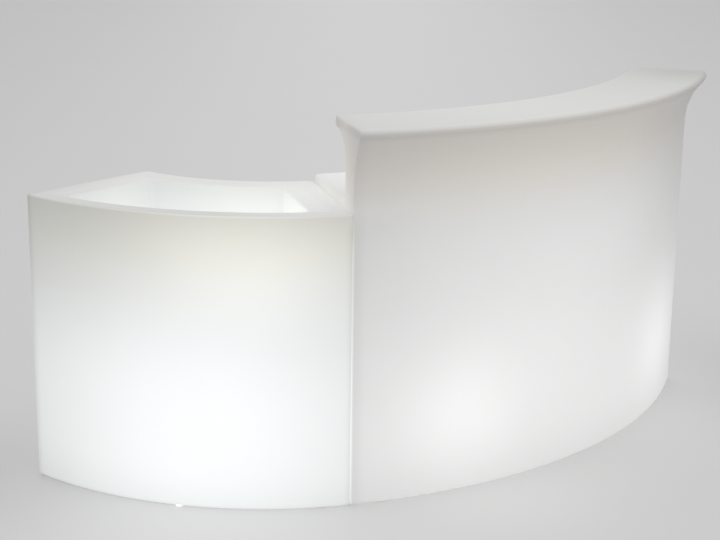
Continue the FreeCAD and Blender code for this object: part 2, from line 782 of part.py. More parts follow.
def tall_shell():
    """Hollow moulding of the tall module."""
    args = (TALL_INNER, "Sizes.tall_niche_width", TALL_NICHE_CEILING)
    skins = []
    voids = []
    for number, angle in enumerate(TALL_NICHES):
        skin = niche(f"tall_niche_skin_{number}", *args, "Sizes.skin")
        void = niche(f"tall_niche_{number}", *args, "0")
        skin.Placement = polar(0, angle)
        void.Placement = polar(0, angle)
        skins.append(skin)
        voids.append(void)
        voids += pin_bores("tall", TALL_INNER, "Sizes.tall_shelf_level", "Sizes.tall_niche_width", angle)
    tool = fused("tall_skins", skins + lamp_skins("tall_lamp", TALL_LAMPS))
    voids.append(cut("tall_hollow", tall_inside(), tool))
    voids += lamp_voids("tall_lamp", TALL_LAMPS)
    voids += service_voids("tall", TALL_INNER)
    voids += floor_bores("tall_insert", TALL_FEET, "Sizes.insert_radius + Sizes.fit")
    voids += floor_bores("tall_link", link_spots(TALL), "Sizes.link_insert_radius + Sizes.fit")
    shell = cut("tall_shell", tall_form(), fused("tall_voids", voids))
    return keep(shell, "tall_shell", TALL)


# --- shelves and their pins ----------------------------------------------


def shelf(label, module, inner, width, level, angle):
    """Loose board that lies on four pins."""
    body = new_body(label)
    sketch = new_sketch(body, "XY_Plane", lift=level)
    back = f"{inner} + Sizes.niche_depth - Sizes.shelf_play"
    half = f"({width} / 2 - Sizes.shelf_play)"
    rectangle(sketch, f"{back} - Sizes.shelf_depth", back, f"-{half}", half)
    board = pad(body, sketch, "Sizes.shelf_thickness")
    board = round_edges(body, board, "Sizes.shelf_corner_radius", is_upright)
    round_edges(body, board, "Sizes.shelf_edge_radius", sharp_in(board.Shape))
    keep(body, label, module, polar(0, angle))


def shelf_pins(module, inner, width, level, angle):
    """Four pins that stand out of the side walls of one niche."""
    length = "Sizes.pin_reach + Sizes.skin + Sizes.pin_tail"
    start = value(f"{width} / 2 - Sizes.pin_reach")
    pins = []
    for radius, height in pin_spots(inner, level):
        for sign in (-1, 1):
            place = module * across(radius, angle, start, height, sign)
            pins.append(cylinder("shelf_pin", "Sizes.pin_radius", length, place))
    return pins


def make_shelves():
    """One board and four pins for each niche."""
    rows = [(LOW, LOW_INNER, "Sizes.low_niche_width", "Sizes.low_shelf_level", 0)]
    for angle in TALL_NICHES:
        rows.append((TALL, TALL_INNER, "Sizes.tall_niche_width", "Sizes.tall_shelf_level", angle))
    pins = []
    for number, row in enumerate(rows, start=1):
        shelf(f"shelf_{number}", *row)
        pins += shelf_pins(*row)
    keep_set("shelf_pins", pins)


# --- feet, glide and link plates -----------------------------------------


def insert(name, radius, bore, length, place):
    """Threaded brass insert, flush with the underside of a shell."""
    foot = "Sizes.ground_gap"
    top = f"Sizes.ground_gap + {length}"
    body = turned(name, [(bore, foot), (radius, foot), (radius, top), (bore, top)])
    body.Placement = place
    return body


def make_feet():
    """Levelling feet: a pad on the floor, a stud in it and a brass insert above."""
    inserts = []
    places = [(LOW, place) for place in LOW_FEET] + [(TALL, place) for place in TALL_FEET]
    for number, (module, (radius, angle)) in enumerate(places, start=1):
        spot = polar(radius, angle)
        pad_corners = [
            ("0", "0"),
            ("Sizes.foot_radius", "0"),
            ("Sizes.foot_radius", "Sizes.ground_gap"),
            ("Sizes.stud_radius", "Sizes.ground_gap"),
            ("Sizes.stud_radius", "Sizes.foot_sole"),
            ("0", "Sizes.foot_sole"),
        ]
        keep(turned(f"foot_pad_{number}", pad_corners), f"foot_pad_{number}", module, spot)
        seat = spot * Placement(Vector(0, 0, size("foot_sole")), Rotation())
        stud = cylinder(f"foot_stud_{number}", "Sizes.stud_radius", "Sizes.stud_length", seat)
        keep(stud, f"foot_stud_{number}", module, seat)
        bore = "Sizes.stud_radius + Sizes.thread_play"
        length = "Sizes.insert_length"
        inserts.append(insert("foot_insert", "Sizes.insert_radius", bore, length, module * spot))
    keep_set("foot_inserts", inserts)


def make_glide():
    """Push-in glide under the middle of the low module's guest side."""
    top = "Sizes.ground_gap + Sizes.skin + Sizes.glide_stem_reach"
    corners = [
        ("0", "0"),
        ("Sizes.glide_radius", "0"),
        ("Sizes.glide_radius", "Sizes.ground_gap"),
        ("Sizes.glide_stem_radius", "Sizes.ground_gap"),
        ("Sizes.glide_stem_radius", top),
        ("0", top),
    ]
    place = polar(size("low_radius") - size("glide_inset"), 0)
    keep(turned("low_glide", corners), "low_glide", LOW, place)


def link_lines():
    """Distance of each link plate from the low module's axis, along the seam."""
    return [size("low_radius") - size("link_front_inset"), value(LOW_INNER) + size("link_rear_inset")]


def link_spots(module):
    """Radius and angle, in one module's frame, of its two link screws."""
    reach = size("link_length") / 2 - size("link_hole_inset")
    side = -1 if module is LOW else 1
    spots = []
    for line in link_lines():
        local = module.inverse().multVec(Vector(side * reach, -line, 0))
        spots.append((radius_of(local), math.degrees(math.atan2(local.y, local.x))))
    return spots


def make_links():
    """Steel plates under the seam, with countersunk screws in brass inserts."""
    screws = []
    inserts = []
    for number, line in enumerate(link_lines(), start=1):
        plate = new_body(f"link_blank_{number}")
        sketch = new_sketch(plate, "XY_Plane", lift="Sizes.ground_gap - Sizes.link_thickness")
        centred_rectangle(sketch, "Sizes.link_length", "Sizes.link_width")
        pad(plate, sketch, "Sizes.link_thickness")
        sinks = []
        underside = value("Sizes.ground_gap - Sizes.link_thickness")
        for sign in (-1, 1):
            offset = sign * value("Sizes.link_length / 2 - Sizes.link_hole_inset")
            seat = Placement(Vector(offset, 0, underside), Rotation())
            sink = doc.addObject("Part::Cone", "link_sink")
            sink.setExpression("Radius1", "Sizes.link_head_radius + Sizes.fit")
            sink.setExpression("Radius2", "Sizes.link_screw_radius + Sizes.fit")
            sink.setExpression("Height", "Sizes.link_thickness")
            sink.Placement = seat
            sinks.append(sink)
            world = Placement(Vector(0, -line, 0), Rotation())
            screws.append(link_screw(world * seat))
            spot = Placement(Vector(offset, -line, 0), Rotation())
            bore = "Sizes.link_screw_radius + Sizes.thread_play"
            length = "Sizes.link_insert_length"
            inserts.append(insert("link_insert", "Sizes.link_insert_radius", bore, length, spot))
        drilled = cut(f"link_plate_{number}", plate, fused(f"link_sinks_{number}", sinks))
        keep(drilled, f"link_plate_{number}", Placement(Vector(0, -line, 0), Rotation()))
    keep_set("link_screws", screws)
    keep_set("link_inserts", inserts)


def link_screw(place):
    """Countersunk screw, its head flush with the underside of its plate."""
    tip = "Sizes.link_thickness + Sizes.link_insert_length - Sizes.link_screw_setback"
    corners = [
        ("0", "0"),
        ("Sizes.link_head_radius", "0"),
        ("Sizes.link_screw_radius", "Sizes.link_thickness"),
        ("Sizes.link_screw_radius", tip),
        ("0", tip),
    ]
    screw = turned("link_screw", corners)
    screw.Placement = place
    return screw


# --- lamp units -----------------------------------------------------------


def lamp_plate(label, module, place):
    """Round plate that closes the lamp opening and carries the lamp."""
    base = f"{RECESS_CEILING} - Sizes.plate_thickness"
    bore = "Sizes.stem_radius + Sizes.fit"
    rim = "Sizes.plate_radius"
    corners = [(bore, base), (rim, base), (rim, RECESS_CEILING), (bore, RECESS_CEILING)]
    disc = turned(f"{label}_blank", corners)
    radius = "Sizes.plate_screw_radius + Sizes.fit"
    spots = [polar(size("plate_screw_circle"), turn) for turn in screw_turns()]
    holes = [cylinder(f"{label}_hole", radius, RECESS_CEILING, spot) for spot in spots]
    keep(cut(label, disc, fused(f"{label}_holes", holes)), label, module, place)


def plate_screws(module, spot):
    """Pan head screws up through the lamp plate."""
    corners = [
        ("0", "-Sizes.plate_screw_head_height"),
        ("Sizes.plate_screw_head_radius", "-Sizes.plate_screw_head_height"),
        ("Sizes.plate_screw_head_radius", "0"),
        ("Sizes.plate_screw_radius", "0"),
        ("Sizes.plate_screw_radius", "Sizes.plate_screw_length"),
        ("0", "Sizes.plate_screw_length"),
    ]
    seat = value(f"{RECESS_CEILING} - Sizes.plate_thickness")
    screws = []
    for turn in screw_turns():
        screw = turned("plate_screw", corners)
        screw.Placement = module * spot * polar(size("plate_screw_circle"), turn, seat)
        screws.append(screw)
    return screws


def lamp_stem(name):
    """Tube from the plate up into the holder, standing on Z = 0."""
    bore, outside = "Sizes.stem_bore_radius", "Sizes.stem_radius"
    top = "Sizes.plate_thickness + Sizes.stem_height + Sizes.holder_seat"
    return turned(name, [(bore, "0"), (outside, "0"), (outside, top), (bore, top)])


def lamp_holder_outline():
    """Holder with a seat for the tube below and a socket for the cap above."""
    seat = "Sizes.stem_radius + Sizes.fit"
    socket = "Sizes.cap_radius + 2 * Sizes.fit"
    return [
        (seat, "0"),
        ("Sizes.holder_radius", "0"),
        ("Sizes.holder_radius", "Sizes.holder_height"),
        (socket, "Sizes.holder_height"),
        (socket, "Sizes.holder_floor"),
        ("Sizes.stem_bore_radius", "Sizes.holder_floor"),
        ("Sizes.stem_bore_radius", "Sizes.holder_seat"),
        (seat, "Sizes.holder_seat"),
    ]


def globe(name):
    """Thin opal globe on a short neck, standing on Z = 0."""
    neck, wall = "Sizes.globe_neck_radius", "Sizes.globe_wall"
    centre = f"(Sizes.globe_neck_height + sqrt(Sizes.globe_radius^2 - {neck}^2))"
    inside = f"(Sizes.globe_radius - {wall})"
    inner_foot = f"{centre} - sqrt({inside}^2 - ({neck} - {wall})^2)"
    corners = [
        (f"{neck} - {wall}", "0"),
        (neck, "0"),
        (neck, "Sizes.globe_neck_height"),
        ("0", f"{centre} + Sizes.globe_radius"),
        ("0", f"{centre} + {inside}"),
        (f"{neck} - {wall}", inner_foot),
    ]
    return turned(name, corners, {2: ("Sizes.globe_radius", 1), 4: (inside, -1)})


def make_lamps():
    """Plate, tube, holder, cap and globe of each lamp, from the floor up."""
    screws = []
    places = [(LOW, place) for place in LOW_LAMP] + [(TALL, place) for place in TALL_LAMPS]
    for number, (module, (radius, angle)) in enumerate(places, start=1):
        spot = polar(radius, angle)
        lamp_plate(f"lamp_plate_{number}", module, spot)
        screws += plate_screws(module, spot)
        ceiling = value(RECESS_CEILING)
        tube_foot = ceiling - size("plate_thickness")
        keep(lamp_stem(f"lamp_stem_{number}"), f"lamp_stem_{number}", module, spot * polar(0, 0, tube_foot))
        holder_foot = ceiling + size("stem_height")
        holder = turned(f"lamp_holder_{number}", lamp_holder_outline())
        keep(holder, f"lamp_holder_{number}", module, spot * polar(0, 0, holder_foot))
        globe_foot = holder_foot + size("holder_height")
        keep(lamp_cap(f"lamp_cap_{number}"), f"lamp_cap_{number}", module, spot * polar(0, 0, globe_foot))
        keep(globe(f"lamp_globe_{number}"), f"lamp_globe_{number}", module, spot * polar(0, 0, globe_foot))
    keep_set("lamp_screws", screws)


def lamp_cap(name):
    """Screw cap with its contact, hanging from Z = 0 in the holder's socket."""
    rim, length = "Sizes.cap_radius", "Sizes.cap_length"
    tip, end = "Sizes.cap_tip_radius", "Sizes.cap_length + Sizes.cap_tip_length"
    corners = [
        ("0", f"-({end})"),
        (tip, f"-({end})"),
        (tip, f"-{length}"),
        (rim, f"-{length}"),
        (rim, "0"),
        ("0", "0"),
    ]
    return turned(name, corners)


# --- gland and switch in the plinth --------------------------------------


def gland(name):
    """Cable gland: collar and dome outside the wall, thread through it."""
    bore, thread = "Sizes.gland_bore_radius", "Sizes.gland_thread_radius"
    collar, dome = "Sizes.gland_collar_radius", "Sizes.gland_dome_radius"
    end = "-Sizes.gland_thread_length"
    shoulder = "Sizes.gland_collar_height"
    top = "Sizes.gland_collar_height + Sizes.gland_dome_height"
    corners = [
        (bore, end),
        (thread, end),
        (thread, "0"),
        (collar, "0"),
        (collar, shoulder),
        (dome, shoulder),
        (dome, top),
        (bore, top),
    ]
    return turned(name, corners)


def switch_frame(name):
    """Snap-in frame with a window for the rocker."""
    body = new_body(name)
    face = new_sketch(body, "XY_Plane")
    centred_rectangle(face, "Sizes.bezel_height", "Sizes.bezel_width")
    pad(body, face, "Sizes.bezel_thickness")
    back = new_sketch(body, "XY_Plane")
    centred_rectangle(back, "Sizes.switch_height", "Sizes.switch_width")
    pad(body, back, "Sizes.switch_depth", backwards=True)
    window = new_sketch(body, "XY_Plane", lift="Sizes.bezel_thickness")
    centred_rectangle(window, "Sizes.window_height", "Sizes.window_width")
    pocket(body, window, "Sizes.bezel_thickness + Sizes.window_depth")
    pivot = new_sketch(body, "XZ_Plane")
    trunnion_circle(pivot, "Sizes.trunnion_radius + Sizes.fit", "-Sizes.pivot_depth")
    pocket(body, pivot, "Sizes.switch_width", centred=True)
    return body


def trunnion_circle(sketch, radius, height):
    """Circle on the sketch's upright axis."""
    sketch.addGeometry(Part.Circle(Vector(0, value(height), 0), Vector(0, 0, 1), value(radius)))
    sketch.addConstraint(Sketcher.Constraint("PointOnObject", 0, 3, -2))
    bind(sketch, Sketcher.Constraint("DistanceY", -1, 1, 0, 3, value(height)), "height", height)
    bind(sketch, Sketcher.Constraint("Radius", 0, value(radius)), "radius", radius)


def rocker(name):
    """Rocker about its pivot, drawn level: a shallow V face and two trunnions."""
    body = new_body(name)
    side = new_sketch(body, "XZ_Plane")
    end = "Sizes.rocker_half_height"
    rise = f"Sizes.rocker_rise + {end} * tan(Sizes.rocker_tilt)"
    corners = [
        ("0", "Sizes.rocker_rise"),
        (f"-{end}", rise),
        ("-Sizes.rocker_back_half_height", "-Sizes.rocker_back"),
        ("Sizes.rocker_back_half_height", "-Sizes.rocker_back"),
        (end, rise),
    ]
    outline(side, corners)
    pad(body, side, "Sizes.rocker_width", centred=True)
    pivot = new_sketch(body, "XZ_Plane")
    trunnion_circle(pivot, "Sizes.trunnion_radius", "0")
    pad(body, pivot, "Sizes.rocker_width + 2 * Sizes.trunnion_reach", centred=True)
    return body


def make_service():
    """Gland, lock nut, switch frame and rocker of each module."""
    nuts = []
    height = size("service_height")
    for number, (module, inner) in enumerate(((LOW, LOW_INNER), (TALL, TALL_INNER)), start=1):
        gland_angle, switch_angle = service_angles(inner)
        seat = on_wall(wall_seat(inner, "2 * Sizes.gland_collar_radius"), gland_angle, height)
        keep(gland(f"gland_{number}"), f"gland_{number}", module, seat)
        thread = "Sizes.gland_thread_radius + Sizes.thread_play"
        nut = hexagon_nut(f"gland_nut_{number}", "Sizes.gland_nut_radius", thread, "Sizes.gland_nut_height")
        behind = -value("Sizes.skin + Sizes.gland_nut_height")
        nut.Placement = module * on_wall(value(inner) - behind, gland_angle, height)
        nuts.append(nut)
        seat = on_wall(wall_seat(inner, "Sizes.bezel_width"), switch_angle, height)
        keep(switch_frame(f"switch_frame_{number}"), f"switch_frame_{number}", module, seat)
        tilt = Rotation(Vector(0, 1, 0), size("rocker_tilt"))
        keep(rocker(f"rocker_{number}"), f"rocker_{number}", module, seat * Placement(pivot_point(), tilt))
    keep_set("gland_nuts", nuts)


def pivot_point():
    """Rocker pivot in the frame of its switch."""
    return Vector(0, 0, -size("pivot_depth"))


# --- drain ----------------------------------------------------------------


def make_drain():
    """Flanged drain through the slab, its lock nut and its stopper."""
    bore, tail = "Sizes.drain_bore_radius", "Sizes.drain_tail_radius"
    shoulder = "-(Sizes.slab + Sizes.drain_thread_length)"
    end = "-(Sizes.slab + Sizes.drain_thread_length + Sizes.drain_spigot_length)"
    flange, top = "Sizes.drain_flange_radius", "Sizes.drain_flange_height"
    fitting = [
        (bore, end),
        ("Sizes.drain_spigot_radius", end),
        ("Sizes.drain_spigot_radius", shoulder),
        (tail, shoulder),
        (tail, "0"),
        (flange, "0"),
        (flange, top),
        (bore, top),
    ]
    spot = polar(drain_radius(), 0, value(WELL_FLOOR))
    keep(turned("drain_fitting", fitting), "drain_fitting", LOW, spot)
    thread = f"{tail} + Sizes.thread_play"
    nut = hexagon_nut("drain_nut", "Sizes.drain_nut_radius", thread, "Sizes.drain_nut_height")
    nut_foot = -value("Sizes.slab + Sizes.drain_nut_height")
    keep(nut, "drain_nut", LOW, spot * Placement(Vector(0, 0, nut_foot), Rotation()))
    plug = f"{bore} - Sizes.stopper_play"
    head = f"{top} + Sizes.stopper_head_height"
    knob = f"{head} + Sizes.stopper_knob_height"
    stopper = [
        ("0", f"{top} - Sizes.stopper_length"),
        (plug, f"{top} - Sizes.stopper_length"),
        (plug, top),
        ("Sizes.stopper_head_radius", top),
        ("Sizes.stopper_head_radius", head),
        ("Sizes.stopper_knob_radius", head),
        ("Sizes.stopper_knob_radius", knob),
        ("0", knob),
    ]
    keep(turned("drain_stopper", stopper), "drain_stopper", LOW, spot)


# --- whole counter --------------------------------------------------------


def centre_on_floor():
    """Move every piece so that the origin is under the middle of the counter."""
    doc.recompute()
    box = FreeCAD.BoundBox()
    for piece in pieces:
        box.add(piece.Shape.optimalBoundingBox(False, False))
    shift = Placement(Vector(-box.Center.x, -box.Center.y, -box.ZMin), Rotation())
    for piece in pieces:
        piece.Placement = shift * piece.Placement
    doc.recompute()
    return shift


def check_document():
    """Stop on a failed feature or on a bad solid."""
    for item in doc.Objects:
        if "Invalid" in item.State or "Error" in item.State:
            raise ValueError(f"{item.Name} failed: {item.State}")
    for piece in pieces:
        if piece.Shape.isNull() or not piece.Shape.isValid() or not piece.Shape.Solids:
            raise ValueError(f"{piece.Label} is not a valid solid")


def write_pieces():
    """One STEP file for each piece, named after its label."""
    os.makedirs("parts", exist_ok=True)
    for piece in pieces:
        piece.Shape.exportStep(f"parts/{piece.Label}.step")


low_shell()
tall_shell()
make_shelves()
make_feet()
make_glide()
make_links()
make_lamps()
make_service()
make_drain()
origin_shift = centre_on_floor()
check_document()
write_pieces()
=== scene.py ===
"""A lit bar counter of two curved modules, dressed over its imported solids.

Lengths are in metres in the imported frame: +Z up, guests stand on the -Y side, staff on the +Y side.
"""

from __future__ import annotations

import logging
import math
from dataclasses import dataclass, field, replace
from enum import Enum
from typing import Iterable

import bpy
from mathutils import Matrix, Vector


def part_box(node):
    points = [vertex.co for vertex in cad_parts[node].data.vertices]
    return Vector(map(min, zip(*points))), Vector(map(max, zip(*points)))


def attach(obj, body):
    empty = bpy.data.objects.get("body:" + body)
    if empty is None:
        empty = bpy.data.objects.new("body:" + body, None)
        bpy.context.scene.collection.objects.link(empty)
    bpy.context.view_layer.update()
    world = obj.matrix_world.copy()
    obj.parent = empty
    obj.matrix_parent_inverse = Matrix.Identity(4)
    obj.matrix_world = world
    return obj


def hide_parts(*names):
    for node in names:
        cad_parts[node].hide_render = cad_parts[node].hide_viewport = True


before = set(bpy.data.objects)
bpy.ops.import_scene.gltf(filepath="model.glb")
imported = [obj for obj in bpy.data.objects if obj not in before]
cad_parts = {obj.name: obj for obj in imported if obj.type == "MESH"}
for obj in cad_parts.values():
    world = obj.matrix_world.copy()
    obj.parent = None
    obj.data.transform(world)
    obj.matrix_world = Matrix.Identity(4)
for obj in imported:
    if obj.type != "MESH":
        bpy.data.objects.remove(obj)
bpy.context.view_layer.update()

log = logging.getLogger("bar_counter")

Colour = tuple[float, float, float]


# ---------------------------------------------------------------------------------------------
# Node trees


class Graph:
    """Adds and joins the nodes of one shader or node group tree."""

    def __init__(self, tree: bpy.types.NodeTree) -> None:
        """Wraps a tree.

        Args:
            tree: the node tree to build in.
        """
        self.tree = tree

    def add(self, kind: str, inputs: dict[str, object] | None = None, **settings: object) -> bpy.types.Node:
        """Adds one node.

        Args:
            kind: the node's type name, such as "ShaderNodeMath".
            inputs: values or output sockets for its inputs, by name or by number.
            **settings: attributes of the node, such as operation="ADD".

        Returns:
            The new node.
        """
        node = self.tree.nodes.new(kind)
        for name, setting in settings.items():
            setattr(node, name, setting)
        for key, given in (inputs or {}).items():
            socket = node.inputs[key]
            if isinstance(given, bpy.types.NodeSocket):
                self.tree.links.new(given, socket)
            else:
                socket.default_value = given
        return node

    def math(self, operation: str, *operands: object) -> bpy.types.NodeSocket:
        """Works out one number from others.

        Args:
            operation: a Math node's operation, such as "MULTIPLY".
            *operands: numbers or sockets, in order.

        Returns:
            The result's socket.
        """
        node = self.add("ShaderNodeMath", dict(enumerate(operands)), operation=operation)
        return node.outputs[0]

    def vector(self, operation: str, *operands: object) -> bpy.types.NodeSocket:
        """Works out one vector from others, or the number that the operation gives.

        Args:
            operation: a Vector Math node's operation, such as "SUBTRACT" or "LENGTH".
            *operands: vectors or sockets, in order.

        Returns:
            The result's socket.
        """
        node = self.add("ShaderNodeVectorMath", dict(enumerate(operands)), operation=operation)
        return node.outputs["Value" if operation in ("LENGTH", "DOT_PRODUCT") else "Vector"]

    def ramp(self, value: bpy.types.NodeSocket, start: float, end: float, low: float = 0.0,
             high: float = 1.0) -> bpy.types.NodeSocket:
        """Eases from one number to another while a value runs from start to end.

        Args:
            value: the value's socket.
            start: where the change begins.
            end: where it is over.
            low: the result before start.
            high: the result past end.

        Returns:
            The result's socket.
        """
        limits = {"Value": value, "From Min": start, "From Max": end, "To Min": low, "To Max": high}
        node = self.add("ShaderNodeMapRange", limits, interpolation_type="SMOOTHSTEP")
        return node.outputs["Result"]

    def split(self, vector: bpy.types.NodeSocket, axis: str) -> bpy.types.NodeSocket:
        """Returns one part of a vector, X, Y or Z."""
        return self.add("ShaderNodeSeparateXYZ", {"Vector": vector}).outputs[axis]

    def blend(self, share: object, first: object, second: object) -> bpy.types.NodeSocket:
        """Mixes two colours.

        Args:
            share: how much of the second colour, 0 to 1.
            first: colour or socket.
            second: colour or socket.

        Returns:
            The mixed colour's socket.
        """
        node = self.add("ShaderNodeMix", data_type="RGBA")
        for socket, given in ((node.inputs[0], share), (node.inputs[6], first), (node.inputs[7], second)):
            if isinstance(given, bpy.types.NodeSocket):
                self.tree.links.new(given, socket)
            else:
                socket.default_value = given
        return node.outputs[2]


def rgba(colour: Colour) -> tuple[float, float, float, float]:
    """Returns a colour with full alpha."""
    return (*colour, 1.0)


def new_group(name: str, inputs: dict[str, tuple[str, object]], outputs: dict[str, str]) -> tuple:
    """Starts a shader node group.

    Args:
        name: the group's name.
        inputs: socket type and default of each input, by name.
        outputs: socket type of each output, by name.

    Returns:
        The group's tree, its Graph, its input node and its output node.
    """
    tree = bpy.data.node_groups.new(name, "ShaderNodeTree")
    for label, (kind, default) in inputs.items():
        socket = tree.interface.new_socket(label, in_out="INPUT", socket_type=kind)
        socket.default_value = default
    for label, kind in outputs.items():
        tree.interface.new_socket(label, in_out="OUTPUT", socket_type=kind)
    graph = Graph(tree)
    return tree, graph, graph.add("NodeGroupInput"), graph.add("NodeGroupOutput")


FLOAT = "NodeSocketFloat"
VECTOR = "NodeSocketVector"


def build_glow() -> bpy.types.NodeTree:
    """Builds painted light, the light that one lamp throws on the wall round it, as a number that falls with
    distance; a strength below 0 paints shade.
    """
    tree, graph, given, result = new_group(
        "lamp_glow",
        {"Place": (VECTOR, (0, 0, 0)), "Lamp": (VECTOR, (0, 0, 0)), "Reach": (FLOAT, 0.4),
         "Strength": (FLOAT, 1.0), "Stretch": (VECTOR, (1, 1, 1))},
        {"Glow": FLOAT})
    apart = graph.vector("SUBTRACT", given.outputs["Place"], given.outputs["Lamp"])
    distance = graph.vector("LENGTH", graph.vector("MULTIPLY", apart, given.outputs["Stretch"]))
    ratio = graph.math("DIVIDE", distance, given.outputs["Reach"])
    fall = graph.math("EXPONENT", graph.math("MULTIPLY", graph.math("POWER", ratio, 2.0), -0.5))
    graph.tree.links.new(graph.math("MULTIPLY", given.outputs["Strength"], fall), result.inputs["Glow"])
    return tree


def build_band() -> bpy.types.NodeTree:
    """Builds a soft line of painted shade or painted highlight across a surface, as a tone that is 1 away
    from it.
    """
    tree, graph, given, result = new_group(
        "soft_band",
        {"Distance": (FLOAT, 0.0), "Centre": (FLOAT, 0.0), "Reach": (FLOAT, 0.01), "Depth": (FLOAT, -0.1)},
        {"Tone": FLOAT})
    ratio = graph.math("DIVIDE", graph.math("SUBTRACT", given.outputs["Distance"], given.outputs["Centre"]),
                       given.outputs["Reach"])
    fall = graph.math("EXPONENT", graph.math("MULTIPLY", graph.math("MULTIPLY", ratio, ratio), -0.5))
    tone = graph.math("ADD", graph.math("MULTIPLY", fall, given.outputs["Depth"]), 1.0)
    graph.tree.links.new(tone, result.inputs["Tone"])
    return tree


def build_mottle() -> bpy.types.NodeTree:
    """Builds the slow, cloudy change of tone of a moulded or coated surface, centred on 1."""
    tree, graph, given, result = new_group(
        "mottle",
        {"Place": (VECTOR, (0, 0, 0)), "Scale": (FLOAT, 6.0), "Depth": (FLOAT, 0.05)},
        {"Tone": FLOAT})
    cloud = graph.add("ShaderNodeTexNoise", {
        "Vector": given.outputs["Place"], "Scale": given.outputs["Scale"], "Detail": 4.0, "Roughness": 0.55})
    centred = graph.math("SUBTRACT", cloud.outputs["Fac"], 0.5)
    depth = graph.math("MULTIPLY", centred, given.outputs["Depth"])
    graph.tree.links.new(graph.math("ADD", depth, 1.0), result.inputs["Tone"])
    return tree


def build_peel() -> bpy.types.NodeTree:
    """Builds the fine orange-peel dimples of a moulded or sprayed surface, as a height."""
    tree, graph, given, result = new_group(
        "orange_peel",
        {"Place": (VECTOR, (0, 0, 0)), "Scale": (FLOAT, 260.0), "Waviness": (FLOAT, 0.35)},
        {"Height": FLOAT})
    fine = graph.add("ShaderNodeTexNoise", {
        "Vector": given.outputs["Place"], "Scale": given.outputs["Scale"], "Detail": 2.0})
    wide = graph.add("ShaderNodeTexNoise", {"Vector": given.outputs["Place"], "Scale": 9.0, "Detail": 1.0})
    swell = graph.math("MULTIPLY", wide.outputs["Fac"], given.outputs["Waviness"])
    graph.tree.links.new(graph.math("ADD", fine.outputs["Fac"], swell), result.inputs["Height"])
    return tree


def build_turning() -> bpy.types.NodeTree:
    """Builds the fine marks that drawing, turning or brushing leaves on metal."""
    tree, graph, given, result = new_group(
        "tool_marks",
        {"Place": (VECTOR, (0, 0, 0)), "Stretch": (VECTOR, (40, 40, 2400)), "Roughness": (FLOAT, 0.3),
         "Variation": (FLOAT, 0.12)},
        {"Roughness": FLOAT, "Height": FLOAT})
    stretched = graph.vector("MULTIPLY", given.outputs["Place"], given.outputs["Stretch"])
    lines = graph.add("ShaderNodeTexNoise", {"Vector": stretched, "Scale": 1.0, "Detail": 3.0})
    centred = graph.math("SUBTRACT", lines.outputs["Fac"], 0.5)
    swing = graph.math("MULTIPLY", centred, given.outputs["Variation"])
    graph.tree.links.new(graph.math("ADD", given.outputs["Roughness"], swing), result.inputs["Roughness"])
    graph.tree.links.new(lines.outputs["Fac"], result.inputs["Height"])
    return tree


def build_scuff() -> bpy.types.NodeTree:
    """Builds the faint dust and scuffs that gather near the floor, as a mask."""
    tree, graph, given, result = new_group(
        "floor_scuff",
        {"Place": (VECTOR, (0, 0, 0)), "Top": (FLOAT, 0.06), "Depth": (FLOAT, 0.5)},
        {"Mask": FLOAT})
    ratio = graph.math("DIVIDE", graph.split(given.outputs["Place"], "Z"), given.outputs["Top"])
    low = graph.ramp(ratio, 0.0, 1.0, 1.0, 0.0)
    speck = graph.add("ShaderNodeTexNoise", {
        "Vector": given.outputs["Place"], "Scale": 34.0, "Detail": 5.0, "Roughness": 0.7})
    broken = graph.math("MULTIPLY", low, speck.outputs["Fac"])
    graph.tree.links.new(graph.math("MULTIPLY", broken, given.outputs["Depth"]), result.inputs["Mask"])
    return tree


class Effect(Enum):
    """The node groups that several finishes share."""

    GLOW = "lamp_glow"
    BAND = "soft_band"
    MOTTLE = "mottle"
    PEEL = "orange_peel"
    TOOL_MARKS = "tool_marks"
    SCUFF = "floor_scuff"


EFFECTS: dict[Effect, bpy.types.NodeTree] = {
    Effect.GLOW: build_glow(),
    Effect.BAND: build_band(),
    Effect.MOTTLE: build_mottle(),
    Effect.PEEL: build_peel(),
    Effect.TOOL_MARKS: build_turning(),
    Effect.SCUFF: build_scuff(),
}


